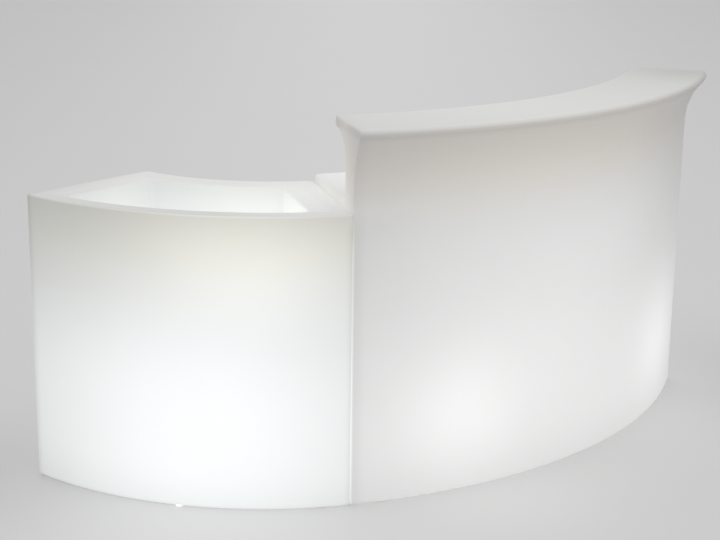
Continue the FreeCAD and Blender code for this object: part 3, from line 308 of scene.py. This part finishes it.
class Recipe(Graph):
    """A material in the making: a Principled shader, Object coordinates and shared effects."""

    def __init__(self, name: str) -> None:
        """Starts the material.

        Args:
            name: the finish's plain name.
        """
        self.material = bpy.data.materials.new(name)
        self.material.use_nodes = True
        super().__init__(self.material.node_tree)
        self.shader = self.tree.nodes["Principled BSDF"]
        coordinates = self.add("ShaderNodeTexCoord")
        self.place = coordinates.outputs["Object"]
        self.normal = coordinates.outputs["Normal"]

    def effect(self, effect: Effect, **inputs: object) -> bpy.types.Node:
        """Adds a shared effect, on the Object coordinates where it reads a place.

        Args:
            effect: which group.
            **inputs: its inputs by name.

        Returns:
            The group node.
        """
        node = self.add("ShaderNodeGroup", node_tree=EFFECTS[effect])
        if "Place" in node.inputs:
            inputs = {"Place": self.place, **inputs}
        for key, given in inputs.items():
            if isinstance(given, bpy.types.NodeSocket):
                self.tree.links.new(given, node.inputs[key])
            else:
                node.inputs[key].default_value = given
        return node

    def constants(self, **values: object) -> None:
        """Sets the shader's own sockets, with _ for a space in a socket's name."""
        for name, given in values.items():
            self.shader.inputs[name.replace("_", " ")].default_value = given

    def feed(self, name: str, socket: bpy.types.NodeSocket) -> None:
        """Links a socket to one of the shader's inputs."""
        self.tree.links.new(socket, self.shader.inputs[name])

    def scaled(self, colour: object, factor: bpy.types.NodeSocket) -> bpy.types.NodeSocket:
        """Returns a colour times a number."""
        node = self.add("ShaderNodeVectorMath", {0: colour}, operation="SCALE")
        self.tree.links.new(factor, node.inputs["Scale"])
        return node.outputs[0]

    def bump(self, height: bpy.types.NodeSocket, depth: float, strength: float) -> None:
        """Feeds the shader's Normal from a height.

        Args:
            height: the height's socket.
            depth: how far full height stands out, in metres.
            strength: how much of it shows, 0 to 1.
        """
        node = self.add("ShaderNodeBump", {"Height": height, "Distance": depth, "Strength": strength})
        self.feed("Normal", node.outputs["Normal"])


# ---------------------------------------------------------------------------------------------
# Finishes


class Edge(Enum):
    """The edges of a module that a band runs along: its two ends, seen from above, and its foot."""

    CLOCKWISE = -1
    ANTICLOCKWISE = 1
    FOOT = 0


@dataclass(frozen=True)
class Curve:
    """The plan of one module: an arc about an upright axis, cut off by a plane at each end."""

    axis: tuple[float, float]
    middle: float
    half_span: float
    lamp_radius: float

    def at(self, angle: float, height: float, radius: float | None = None) -> Vector:
        """Finds a point by its place on the arc.

        Args:
            angle: degrees from the module's middle, anticlockwise from above.
            height: metres above the floor.
            radius: metres from the axis, or None for the lamps' arc.

        Returns:
            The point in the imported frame.
        """
        turn = math.radians(self.middle + angle)
        reach = self.lamp_radius if radius is None else radius
        return Vector((self.axis[0] + reach * math.cos(turn), self.axis[1] + reach * math.sin(turn), height))

    def inward(self, end: Edge) -> Vector:
        """Returns the level direction into the module, square to the plane of one end."""
        turn = math.radians(self.middle + end.value * self.half_span)
        return end.value * Vector((math.sin(turn), -math.cos(turn), 0.0))

    def distance(self, recipe: Recipe, edge: Edge) -> bpy.types.NodeSocket:
        """Measures how far a point is from an edge of the module, in metres."""
        if edge is Edge.FOOT:
            return recipe.split(recipe.place, "Z")
        apart = recipe.vector("SUBTRACT", recipe.place, (*self.axis, 0.0))
        return recipe.vector("DOT_PRODUCT", apart, self.inward(edge))

    def radius(self, recipe: Recipe) -> bpy.types.NodeSocket:
        """Measures how far a point is from the axis, in metres."""
        apart = recipe.vector("SUBTRACT", recipe.place, (*self.axis, 0.0))
        return recipe.vector("LENGTH", recipe.vector("MULTIPLY", apart, (1.0, 1.0, 0.0)))


# Heights of the modules' level faces.
LOW_RIM = 0.86
WELL_FLOOR = 0.58
WORKTOP = 0.88
COUNTER_TOP = 1.10

LOW_CURVE = Curve((-0.3047, 0.5205), middle=-118.5, half_span=28.5, lamp_radius=0.905)
TALL_CURVE = Curve((-0.3047, 1.1305), middle=-60.0, half_span=30.0, lamp_radius=1.515)


@dataclass(frozen=True)
class Halo:
    """A patch of painted light on the wall, where a lamp or the light it throws up inside shows through; a
    strength below 0 paints shade instead.
    """

    angle: float
    height: float
    strength: float
    reach: float
    upright: float = 1.0
    radius: float | None = None


@dataclass(frozen=True)
class PaintedBand:
    """A line of painted shade, or of painted highlight where depth is above 0, along an edge of a module,
    which fades out at a height.
    """

    edge: Edge
    depth: float
    centre: float
    reach: float
    fades: tuple[float, float] = (2.0, 2.1)


@dataclass(frozen=True)
class Pocket:
    """A hollow pressed into a module: its walls keep a share of the faces' painted light, which paints shade
    in the hollow, and add painted light of their own.
    """

    middle: float
    half_depth: float
    bottom: float
    top: float
    strength: float = 0.0
    keep: float = 1.0
    tint: Colour = (0.97, 1.0, 0.98)
    soft: float = 0.008
    wall_margins: tuple[float, float] = (0.003, 0.008)
    floor_margin: float = 0.006
    end_margins: tuple[float, float] = (0.05, 0.06)

    def mask(self, recipe: Recipe, curve: Curve) -> bpy.types.NodeSocket:
        """Marks the walls and floor of the hollow with 1 and every other face with 0."""
        off_middle = recipe.math("ABSOLUTE", recipe.math("SUBTRACT", curve.radius(recipe), self.middle))
        height = recipe.split(recipe.place, "Z")
        near_end = recipe.math("MINIMUM", curve.distance(recipe, Edge.CLOCKWISE),
                               curve.distance(recipe, Edge.ANTICLOCKWISE))
        wall_start, wall_end = (self.half_depth + margin for margin in self.wall_margins)
        shares = (recipe.ramp(off_middle, wall_start, wall_end, 1.0, 0.0),
                  recipe.ramp(height, self.bottom - self.floor_margin, self.bottom),
                  recipe.ramp(height, self.top - self.soft, self.top, 1.0, 0.0),
                  recipe.ramp(near_end, *self.end_margins))
        total = shares[0]
        for share in shares[1:]:
            total = recipe.math("MULTIPLY", share, total)
        return total


@dataclass(frozen=True)
class LitPolyethylene:
    """Rotomoulded natural polyethylene, with the light of the lamps behind its wall painted on as emission,
    and painted shade and highlights along its edges.
    """

    name: str
    curve: Curve
    halos: tuple[Halo, ...]
    cavity: float
    fade: tuple[float, float]
    tops: tuple[Halo, ...]
    top: float
    pockets: tuple[Pocket, ...]
    painted_bands: tuple[PaintedBand, ...]
    low_tint: Colour
    high_tint: Colour
    rise: tuple[float, float]
    top_tint: Colour = (1.0, 1.0, 0.985)
    # An even painted light on undersides near the floor.
    sole: float = 0.6
    sole_heights: tuple[float, float] = (0.012, 0.015)
    facing_up: tuple[float, float] = (0.5, 0.95)
    facing_down: tuple[float, float] = (-0.65, -0.95)
    colour: Colour = (0.594, 0.598, 0.587)
    roughness: float = 0.42

    def halos_over(self, recipe: Recipe, base: object, halos: tuple[Halo, ...]) -> bpy.types.NodeSocket:
        """Adds patches of painted light, or of painted shade where a strength is below 0, to an even light.

        Args:
            recipe: the material in the making.
            base: the even light, a number or a socket.
            halos: the patches.

        Returns:
            The sum's socket.
        """
        total = base
        for halo in halos:
            glow = recipe.effect(Effect.GLOW, Lamp=self.curve.at(halo.angle, halo.height, halo.radius),
                                 Reach=halo.reach, Strength=halo.strength, Stretch=(1.0, 1.0, halo.upright))
            total = recipe.math("ADD", glow.outputs["Glow"], total)
        return total

    def light(self, recipe: Recipe) -> bpy.types.NodeSocket:
        """Makes the colour of the painted light through the wall, on faces, tops, undersides and pockets."""
        height = recipe.split(recipe.place, "Z")
        faces = self.halos_over(recipe, recipe.ramp(height, *self.fade, self.cavity, 0.0), self.halos)
        tint = recipe.blend(recipe.ramp(height, *self.rise), rgba(self.low_tint), rgba(self.high_tint))
        level = recipe.scaled(self.top_tint, self.halos_over(recipe, self.top, self.tops))
        upward = recipe.split(recipe.normal, "Z")
        # Undersides near the floor get an even painted light.
        under = recipe.math("MULTIPLY", recipe.ramp(upward, *self.facing_down),
                            recipe.ramp(height, *self.sole_heights, 1.0, 0.0))
        flat = recipe.ramp(upward, *self.facing_up)
        inside = {pocket: pocket.mask(recipe, self.curve) for pocket in self.pockets}
        for mask in inside.values():
            flat = recipe.math("MULTIPLY", flat, recipe.math("SUBTRACT", 1.0, mask))
        colour = recipe.blend(flat, recipe.scaled(tint, faces), level)
        colour = recipe.blend(under, colour, rgba((self.sole,) * 3))
        for pocket, mask in inside.items():
            kept = recipe.scaled(colour, recipe.ramp(mask, 0.0, 1.0, 1.0, pocket.keep))
            added = recipe.scaled(pocket.tint, recipe.math("MULTIPLY", mask, pocket.strength))
            colour = recipe.vector("ADD", kept, added)
        return colour

    def shade(self, recipe: Recipe) -> bpy.types.NodeSocket:
        """Multiplies a cloudy mottle with the tones of the painted shade and highlight bands along the edges.
        """
        height = recipe.split(recipe.place, "Z")
        total = recipe.effect(Effect.MOTTLE, Scale=5.0, Depth=0.035).outputs["Tone"]
        for band in self.painted_bands:
            depth = recipe.ramp(height, *band.fades, band.depth, 0.0)
            tone = recipe.effect(Effect.BAND, Distance=self.curve.distance(recipe, band.edge), Depth=depth,
                                 Centre=band.centre, Reach=band.reach)
            total = recipe.math("MULTIPLY", tone.outputs["Tone"], total)
        return total

    def material(self) -> bpy.types.Material:
        """Builds the material: painted glow, cloudy wall thickness, painted shade and highlights along the
        edges, and orange peel.
        """
        recipe = Recipe(self.name)
        recipe.constants(Emission_Strength=1.0, IOR=1.5, Coat_Weight=0.08, Coat_Roughness=0.3)
        # The mottle and the painted bands scale both the painted glow and the base colour.
        tone = self.shade(recipe)
        recipe.feed("Emission Color", recipe.scaled(self.light(recipe), tone))
        recipe.feed("Base Color", recipe.scaled(self.colour, tone))
        gloss = recipe.effect(Effect.MOTTLE, Scale=22.0, Depth=0.12).outputs["Tone"]
        recipe.feed("Roughness", recipe.math("MULTIPLY", gloss, self.roughness))
        recipe.bump(recipe.effect(Effect.PEEL, Scale=240.0, Waviness=0.3).outputs["Height"], 0.0004, 0.12)
        return recipe.material


LOW_GLOW = LitPolyethylene(
    "lit_polyethylene_low", LOW_CURVE,
    halos=(Halo(4.2, 0.25, 0.393, 0.404), Halo(13.4, 0.74, 0.237, 0.227, 1.6),
           Halo(-21.0, 0.72, 0.08, 0.11, radius=0.80)),
    cavity=0.202, fade=(0.312, 0.94),
    tops=(Halo(20.0, LOW_RIM, 0.115, 0.20, radius=0.62), Halo(-20.0, LOW_RIM, 0.095, 0.20, radius=0.62),
          Halo(26.5, LOW_RIM, 0.12, 0.17, radius=0.84)),
    top=0.015,
    # Painted light in the well; painted shade lower down the well and in the staff niche.
    pockets=(Pocket(middle=0.79, half_depth=0.16, bottom=WELL_FLOOR, top=0.862, strength=0.11,
                    tint=(0.86, 1.0, 1.25)),
             Pocket(middle=0.79, half_depth=0.16, bottom=WELL_FLOOR, top=0.80, keep=0.66, soft=0.22),
             Pocket(middle=0.7125, half_depth=0.1475, bottom=0.085, top=0.52, keep=0.28)),
    # Painted shade along the seam end and the far end, and near the floor.
    painted_bands=(PaintedBand(Edge.ANTICLOCKWISE, -0.12, 0.0, 0.008, fades=(0.80, 0.855)),
           PaintedBand(Edge.CLOCKWISE, -0.16, 0.0, 0.012),
           PaintedBand(Edge.FOOT, -0.062, 0.0, 0.05), PaintedBand(Edge.FOOT, -0.07, 0.004, 0.006)),
    low_tint=(0.96, 1.0, 1.015), high_tint=(1.03, 1.0, 0.80), rise=(0.50, 0.90))
TALL_GLOW = LitPolyethylene(
    "lit_polyethylene_tall", TALL_CURVE,
    # Halos paint light through the wall; those with a strength below 0 paint shade.
    halos=(Halo(-17.8, 0.25, 0.172, 0.145), Halo(18.3, 0.25, 0.169, 0.145),
           Halo(-19.5, 0.65, 0.172, 0.355, 0.727), Halo(2.6, 0.65, 0.178, 0.355, 0.727),
           Halo(25.0, 0.20, 0.03, 0.22, 0.8, radius=1.61), Halo(4.0, 0.79, 0.028, 0.80, 6.5, radius=1.61),
           Halo(-17.5, 0.30, -0.03, 0.17, 0.9, radius=1.61),
           Halo(-30.0, 0.98, 0.07, 0.045, 0.25, radius=1.51),
           Halo(-30.0, 0.87, 0.15, 0.16, 8.0, radius=1.30)),
    cavity=0.265, fade=(0.042, 1.10),
    tops=(Halo(-8.0, COUNTER_TOP, 0.09, 0.45, radius=1.5), Halo(29.0, COUNTER_TOP, -0.10, 0.15, radius=1.62),
          Halo(0.0, WORKTOP, 0.175, 1.5, 20.0)),
    top=0.01,
    # Painted shade in the staff niches.
    pockets=(Pocket(middle=1.3135, half_depth=0.1385, bottom=0.085, top=0.82, keep=0.30),),
    # Painted shade along the seam end, near the floor and under the top's lip; a painted highlight line at
    # the seam end.
    painted_bands=(PaintedBand(Edge.CLOCKWISE, -0.045, 0.0, 0.018),
           PaintedBand(Edge.CLOCKWISE, -0.045, 0.004, 0.016, fades=(0.80, 0.88)),
           PaintedBand(Edge.CLOCKWISE, 0.27, 0.0005, 0.0022, fades=(0.74, 0.90)),
           PaintedBand(Edge.FOOT, -0.06, 0.0, 0.08), PaintedBand(Edge.FOOT, -0.05, 0.004, 0.006),
           PaintedBand(Edge.FOOT, -0.09, 1.083, 0.009)),
    low_tint=(0.985, 1.0, 0.995), high_tint=(1.07, 0.93, 0.76), rise=(0.76, 1.02))


@dataclass(frozen=True)
class Moulding:
    """An injection-moulded or laminated surface in one colour, with a fine grain, a little dust and, where
    glow is set, painted light that makes it glow.
    """

    name: str
    colour: Colour
    roughness: float = 0.45
    grain: float = 900.0
    grain_depth: float = 0.0001
    mottle: float = 0.05
    dust: Colour | None = None
    coat: float = 0.0
    # Emission of the surface's own colour: painted light.
    glow: float = 0.0

    def material(self) -> bpy.types.Material:
        """Builds the material."""
        recipe = Recipe(self.name)
        recipe.constants(Coat_Weight=self.coat, Coat_Roughness=0.08, Emission_Strength=self.glow)
        tone = recipe.effect(Effect.MOTTLE, Scale=14.0, Depth=self.mottle).outputs["Tone"]
        colour = recipe.scaled(self.colour, tone)
        if self.dust is not None:
            mask = recipe.effect(Effect.SCUFF, Top=0.06, Depth=0.6).outputs["Mask"]
            colour = recipe.blend(mask, colour, rgba(self.dust))
        recipe.feed("Base Color", colour)
        recipe.feed("Emission Color", colour)
        recipe.feed("Roughness", recipe.math("MULTIPLY", tone, self.roughness))
        height = recipe.effect(Effect.PEEL, Scale=self.grain, Waviness=0.1).outputs["Height"]
        recipe.bump(height, self.grain_depth, 0.3)
        return recipe.material


@dataclass(frozen=True)
class Metal:
    """A plated, brushed or turned metal."""

    name: str
    colour: Colour
    roughness: float = 0.3
    variation: float = 0.15
    stretch: Colour = (40.0, 40.0, 2400.0)
    marks: float = 0.15

    def material(self) -> bpy.types.Material:
        """Builds the material."""
        recipe = Recipe(self.name)
        recipe.constants(Metallic=1.0)
        marks = recipe.effect(Effect.TOOL_MARKS, Stretch=self.stretch, Roughness=self.roughness,
                              Variation=self.variation)
        recipe.feed("Roughness", marks.outputs["Roughness"])
        tone = recipe.effect(Effect.MOTTLE, Scale=60.0, Depth=0.08).outputs["Tone"]
        recipe.feed("Base Color", recipe.scaled(self.colour, tone))
        recipe.bump(marks.outputs["Height"], 0.00002, self.marks)
        return recipe.material


@dataclass(frozen=True)
class OpalGlobe:
    """A lit opal globe, brighter over the light source than at its rim."""

    centre: Vector
    colour: Colour = (0.9, 0.9, 0.88)
    strength: float = 1.0
    reach: float = 0.12

    def material(self) -> bpy.types.Material:
        """Builds the material."""
        recipe = Recipe("opal_globe")
        recipe.constants(Roughness=0.25, Emission_Strength=1.0)
        tone = recipe.effect(Effect.MOTTLE, Scale=30.0, Depth=0.06).outputs["Tone"]
        recipe.feed("Base Color", recipe.scaled(self.colour, tone))
        glow = recipe.effect(Effect.GLOW, Lamp=self.centre, Strength=self.strength, Reach=self.reach)
        recipe.feed("Emission Color", recipe.scaled((1.0, 1.0, 0.97), glow.outputs["Glow"]))
        return recipe.material


@dataclass(frozen=True)
class PaintedPatch:
    """A round patch of painted light on the floor, or of painted shade where strength is below 0."""

    place: tuple[float, float]
    reach: float
    strength: float


@dataclass(frozen=True)
class StudioFloor:
    """A pale floor with painted light and shade in its colour: a long soft pool of painted light, painted
    light by the lit fronts and painted shade off both ends.
    """

    colour: Colour = (0.61, 0.608, 0.609)
    even: float = 0.805
    # A long soft pool of painted light across the floor.
    pool: float = 0.23
    pool_place: tuple[float, float] = (3.44, 12.09)
    pool_half_width: float = 1.78
    pool_half_length: float = 30.0
    pool_turn: float = 0.2787
    # Painted light by the lit fronts (strength above 0) and painted shade off both ends (below 0).
    painted_patches: tuple[PaintedPatch, ...] = (
        PaintedPatch((-0.669, -0.30), 0.39, 0.25), PaintedPatch((0.15, -0.47), 0.26, 0.16), PaintedPatch((0.86, 0.10), 0.40, 0.25),
        PaintedPatch((-1.50, -0.02), 0.33, -0.18), PaintedPatch((1.40, 0.05), 0.42, -0.20))

    def material(self) -> bpy.types.Material:
        """Builds the material."""
        recipe = Recipe("studio_floor")
        recipe.constants(Roughness=0.5)
        turned = recipe.add("ShaderNodeMapping", {"Vector": recipe.place, "Rotation": (0, 0, self.pool_turn)})
        centre = Matrix.Rotation(self.pool_turn, 3, "Z") @ Vector((*self.pool_place, 0.0))
        pool = recipe.effect(Effect.GLOW, Place=turned.outputs["Vector"], Lamp=centre, Reach=1.0,
                             Strength=self.pool,
                             Stretch=(1 / self.pool_half_width, 1 / self.pool_half_length, 0.0))
        tone = recipe.math("ADD", pool.outputs["Glow"], self.even)
        for patch in self.painted_patches:
            glow = recipe.effect(Effect.GLOW, Lamp=(*patch.place, 0.0), Reach=patch.reach,
                                 Strength=patch.strength)
            tone = recipe.math("ADD", glow.outputs["Glow"], tone)
        cloud = recipe.effect(Effect.MOTTLE, Scale=1.3, Depth=0.02).outputs["Tone"]
        recipe.feed("Base Color", recipe.scaled(self.colour, recipe.math("MULTIPLY", tone, cloud)))
        return recipe.material


# ---------------------------------------------------------------------------------------------
# Mesh work


MERGE_DISTANCE = 1e-5
FLAT_ENOUGH = math.cos(math.radians(1.5))
ROUND_ENOUGH = math.cos(math.radians(4.0))
LEVEL = Vector((1.0, 1.0, 0.0))


def only(piece: bpy.types.Object) -> None:
    """Selects one object alone and makes it active."""
    bpy.ops.object.select_all(action="DESELECT")
    piece.select_set(True)
    bpy.context.view_layer.objects.active = piece


def dress(pieces: Iterable[bpy.types.Object], material: bpy.types.Material) -> None:
    """Gives each piece one material.

    Args:
        pieces: the objects to dress.
        material: their finish.
    """
    for piece in pieces:
        piece.data.materials.clear()
        piece.data.materials.append(material)


def merged_copy(node: str, smooth_angle: float, bevel: float = 0.0) -> bpy.types.Object:
    """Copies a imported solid's mesh, joins its triangles, eases its edges and smooths it up to an angle.

    Args:
        node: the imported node.
        smooth_angle: the widest angle between faces that shade as one, in degrees.
        bevel: how far sharp edges are eased, in metres.

    Returns:
        The copy, which stands for the node.
    """
    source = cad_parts[node]
    piece = bpy.data.objects.new(f"{node}_moulding", source.data.copy())
    bpy.context.scene.collection.objects.link(piece)
    only(piece)
    bpy.ops.object.mode_set(mode="EDIT")
    bpy.ops.mesh.select_all(action="SELECT")
    bpy.ops.mesh.remove_doubles(threshold=MERGE_DISTANCE)
    bpy.ops.object.mode_set(mode="OBJECT")
    if bevel:
        eased = piece.modifiers.new("eased", "BEVEL")
        eased.width = bevel
        eased.segments = 2
        eased.angle_limit = math.radians(smooth_angle)
        bpy.ops.object.modifier_apply(modifier=eased.name)
    bpy.ops.object.shade_smooth_by_angle(angle=math.radians(smooth_angle))
    weighted = piece.modifiers.new("weighted", "WEIGHTED_NORMAL")
    weighted.keep_sharp = True
    weighted.weight = 100
    bpy.ops.object.modifier_apply(modifier=weighted.name)
    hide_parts(node)
    return piece


def true_normals(piece: bpy.types.Object, curve: Curve) -> None:
    """Shades a module's level, end and round faces by the surfaces that they are cut from.

    Args:
        piece: the module, with its doubles merged.
        curve: its plan.
    """
    mesh = piece.data
    ends = [-curve.inward(edge) for edge in (Edge.CLOCKWISE, Edge.ANTICLOCKWISE)]
    flats = [Vector((0, 0, 1)), Vector((0, 0, -1)), *ends]
    axis = Vector((*curve.axis, 0.0))
    normals = [Vector(corner.vector) for corner in mesh.corner_normals]
    for face in mesh.polygons:
        flat = next((way for way in flats if face.normal.dot(way) > FLAT_ENOUGH), None)
        for corner in face.loop_indices:
            outward = (mesh.vertices[mesh.loops[corner].vertex_index].co - axis) * LEVEL
            outward.normalize()
            lean = face.normal.dot(outward)
            if flat is not None:
                normals[corner] = flat
            elif abs(lean) > ROUND_ENOUGH:
                normals[corner] = outward * math.copysign(1.0, lean)
    mesh.normals_split_custom_set(normals)


# ---------------------------------------------------------------------------------------------
# Sub-assemblies


@dataclass
class Shells:
    """The two moulded modules."""

    finishes: dict[str, LitPolyethylene]
    smooth_angle: float = 32.0

    def build(self) -> list[bpy.types.Object]:
        """Builds and dresses both modules."""
        pieces = []
        for node, finish in self.finishes.items():
            piece = merged_copy(node, self.smooth_angle)
            true_normals(piece, finish.curve)
            dress([piece], finish.material())
            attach(piece, "counter")
            pieces.append(piece)
        return pieces


@dataclass
class SmoothPieces:
    """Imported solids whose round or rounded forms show, shaded smooth over their own shape."""

    body_of: dict[str, str]
    finish: Moulding
    slot: str
    smooth_angle: float = 40.0
    bevel: float = 0.0

    def build(self) -> list[bpy.types.Object]:
        """Builds and dresses a smooth copy of each node."""
        pieces = []
        material = self.finish.material()
        for node, body in self.body_of.items():
            piece = merged_copy(node, self.smooth_angle, self.bevel)
            dress([piece], material)
            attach(piece, body)
            pieces.append(piece)
        return pieces


@dataclass
class Globes:
    """The lit opal globes of the lamps inside the modules."""

    nodes: tuple[str, ...] = ("lamp_globe_1", "lamp_globe_2", "lamp_globe_3")
    smooth_angle: float = 60.0

    def build(self) -> list[bpy.types.Object]:
        """Builds and dresses a smooth copy of each globe."""
        pieces = []
        for node in self.nodes:
            piece = merged_copy(node, self.smooth_angle)
            dress([piece], OpalGlobe(centre_of(node)).material())
            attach(piece, "counter")
            pieces.append(piece)
        return pieces


@dataclass
class Fittings:
    """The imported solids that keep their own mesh, each group in its finish."""

    groups: dict[str, Moulding | Metal] = field(default_factory=dict)

    def build(self) -> list[bpy.types.Object]:
        """Dresses every node whose name starts with one of a group's prefixes."""
        done = []
        for prefixes, finish in self.groups.items():
            names = (name for name in sorted(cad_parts) if name.startswith(tuple(prefixes.split())))
            nodes = [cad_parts[name] for name in names]
            dress(nodes, finish.material())
            done += nodes
        return done


BOARD = Moulding("white_board", (0.74, 0.74, 0.725), roughness=0.38, grain=420.0, grain_depth=0.00006,
                 mottle=0.03)
RUBBER = Moulding("foot_rubber", (0.028, 0.028, 0.028), roughness=0.8, dust=(0.22, 0.21, 0.20), mottle=0.2)
STOPPER_RUBBER = replace(RUBBER, name="stopper_rubber", dust=None)
FITTING_FINISHES: dict[str, Moulding | Metal] = {
    "shelf_pins lamp_screws link_screws foot_stud_ lamp_stem_ lamp_cap_":
        Metal("zinc_plate", (0.58, 0.58, 0.60), roughness=0.34),
    "link_plate_":
        Metal("brushed_stainless", (0.62, 0.61, 0.60), roughness=0.28, stretch=(60.0, 60.0, 1800.0)),
    "foot_inserts link_inserts":
        Metal("turned_brass", (0.62, 0.44, 0.17), roughness=0.3, stretch=(30.0, 30.0, 3000.0)),
    # The glide glows with painted light.
    "low_glide": Moulding("lit_nylon", (0.86, 0.86, 0.84), roughness=0.5, glow=0.8),
    "drain_nut": Moulding("natural_nylon", (0.72, 0.71, 0.66), roughness=0.5, dust=(0.40, 0.39, 0.37)),
    "lamp_plate_": Moulding("lamp_plate_white", (0.70, 0.70, 0.685), roughness=0.42),
    "lamp_holder_": Moulding("glazed_porcelain", (0.82, 0.80, 0.75), roughness=0.12, grain=60.0, coat=0.6),
    "gland_": Moulding("grey_nylon", (0.26, 0.27, 0.28), roughness=0.5, mottle=0.1),
    "switch_frame_": Moulding("black_frame", (0.012, 0.012, 0.013), roughness=0.35, coat=0.2),
    "rocker_": Moulding("black_rocker", (0.016, 0.016, 0.017), roughness=0.2, coat=0.4),
    "drain_fitting": Metal("polished_chrome", (0.80, 0.81, 0.82), roughness=0.08, variation=0.04, marks=0.04),
}


# ---------------------------------------------------------------------------------------------
# Studio


@dataclass(frozen=True)
class Viewpoint:
    """Where the camera stands and how it looks."""

    place: Vector = Vector((-1.4446, -4.5338, 1.8644))
    yaw: float = 0.2787
    pitch: float = 0.269
    roll: float = 0.0123
    lens: float = 79.655
    sensor_width: float = 36.0
    clip_end: float = 200.0

    def build(self) -> bpy.types.Object:
        """Makes the camera and sets it as the scene's."""
        ahead = Vector((math.sin(self.yaw) * math.cos(self.pitch), math.cos(self.yaw) * math.cos(self.pitch),
                        -math.sin(self.pitch)))
        right = Vector((math.cos(self.yaw), -math.sin(self.yaw), 0.0))
        above = right.cross(ahead)
        across = math.cos(self.roll) * right + math.sin(self.roll) * above
        upward = math.cos(self.roll) * above - math.sin(self.roll) * right
        camera = bpy.data.objects.new("camera", bpy.data.cameras.new("camera"))
        camera.data.lens = self.lens
        camera.data.sensor_width = self.sensor_width
        camera.data.clip_end = self.clip_end
        turn = Matrix((across, upward, -ahead)).transposed().to_4x4()
        camera.matrix_world = Matrix.Translation(self.place) @ turn
        bpy.context.scene.collection.objects.link(camera)
        bpy.context.scene.camera = camera
        return camera


@dataclass(frozen=True)
class Studio:
    """The floor and the light from all round."""

    floor_radius: float = 60.0
    floor_corners: int = 96
    horizon: float = 0.40
    zenith: float = 1.30
    tint: Colour = (1.0, 0.995, 0.997)

    def build(self) -> None:
        """Makes the floor and the world."""
        bpy.ops.object.select_all(action="DESELECT")
        bpy.ops.mesh.primitive_circle_add(vertices=self.floor_corners, radius=self.floor_radius,
                                          fill_type="NGON")
        floor = bpy.context.active_object
        floor.name = "floor"
        dress([floor], StudioFloor().material())
        self.light_all_round()

    def light_all_round(self) -> None:
        """Makes a soft sky, brighter overhead than at the horizon."""
        world = bpy.data.worlds.new("studio")
        world.use_nodes = True
        graph = Graph(world.node_tree)
        direction = graph.add("ShaderNodeTexCoord").outputs["Generated"]
        height = graph.add("ShaderNodeSeparateXYZ", {"Vector": direction}).outputs["Z"]
        rise = graph.add("ShaderNodeMapRange",
                         {"Value": height, "To Min": self.horizon, "To Max": self.zenith})
        background = world.node_tree.nodes["Background"]
        background.inputs["Color"].default_value = rgba(self.tint)
        graph.tree.links.new(rise.outputs["Result"], background.inputs["Strength"])
        bpy.context.scene.world = world


def centre_of(node: str) -> Vector:
    """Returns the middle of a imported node's box."""
    low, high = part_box(node)
    return (low + high) / 2


def main() -> None:
    """Builds the studio and the counter."""
    scene = bpy.context.scene
    scene.view_settings.view_transform = "Standard"
    Studio().build()
    Viewpoint().build()
    assemblies = (
        Shells({"low_shell": LOW_GLOW, "tall_shell": TALL_GLOW}),
        SmoothPieces({f"shelf_{n}": f"shelf_{n}" for n in range(1, 5)}, BOARD, "shelf", bevel=0.001),
        SmoothPieces({f"foot_pad_{n}": f"foot_{n}" for n in range(1, 11)}, RUBBER, "foot"),
        SmoothPieces({"drain_stopper": "stopper"}, STOPPER_RUBBER, "stopper"),
        Globes(),
        Fittings(FITTING_FINISHES))
    for assembly in assemblies:
        for piece in assembly.build():
            log.info("%s: %d faces", piece.name, len(piece.data.polygons))


if __name__ == "__main__":
    logging.basicConfig(level=logging.INFO, format="%(name)s: %(message)s")
    main()
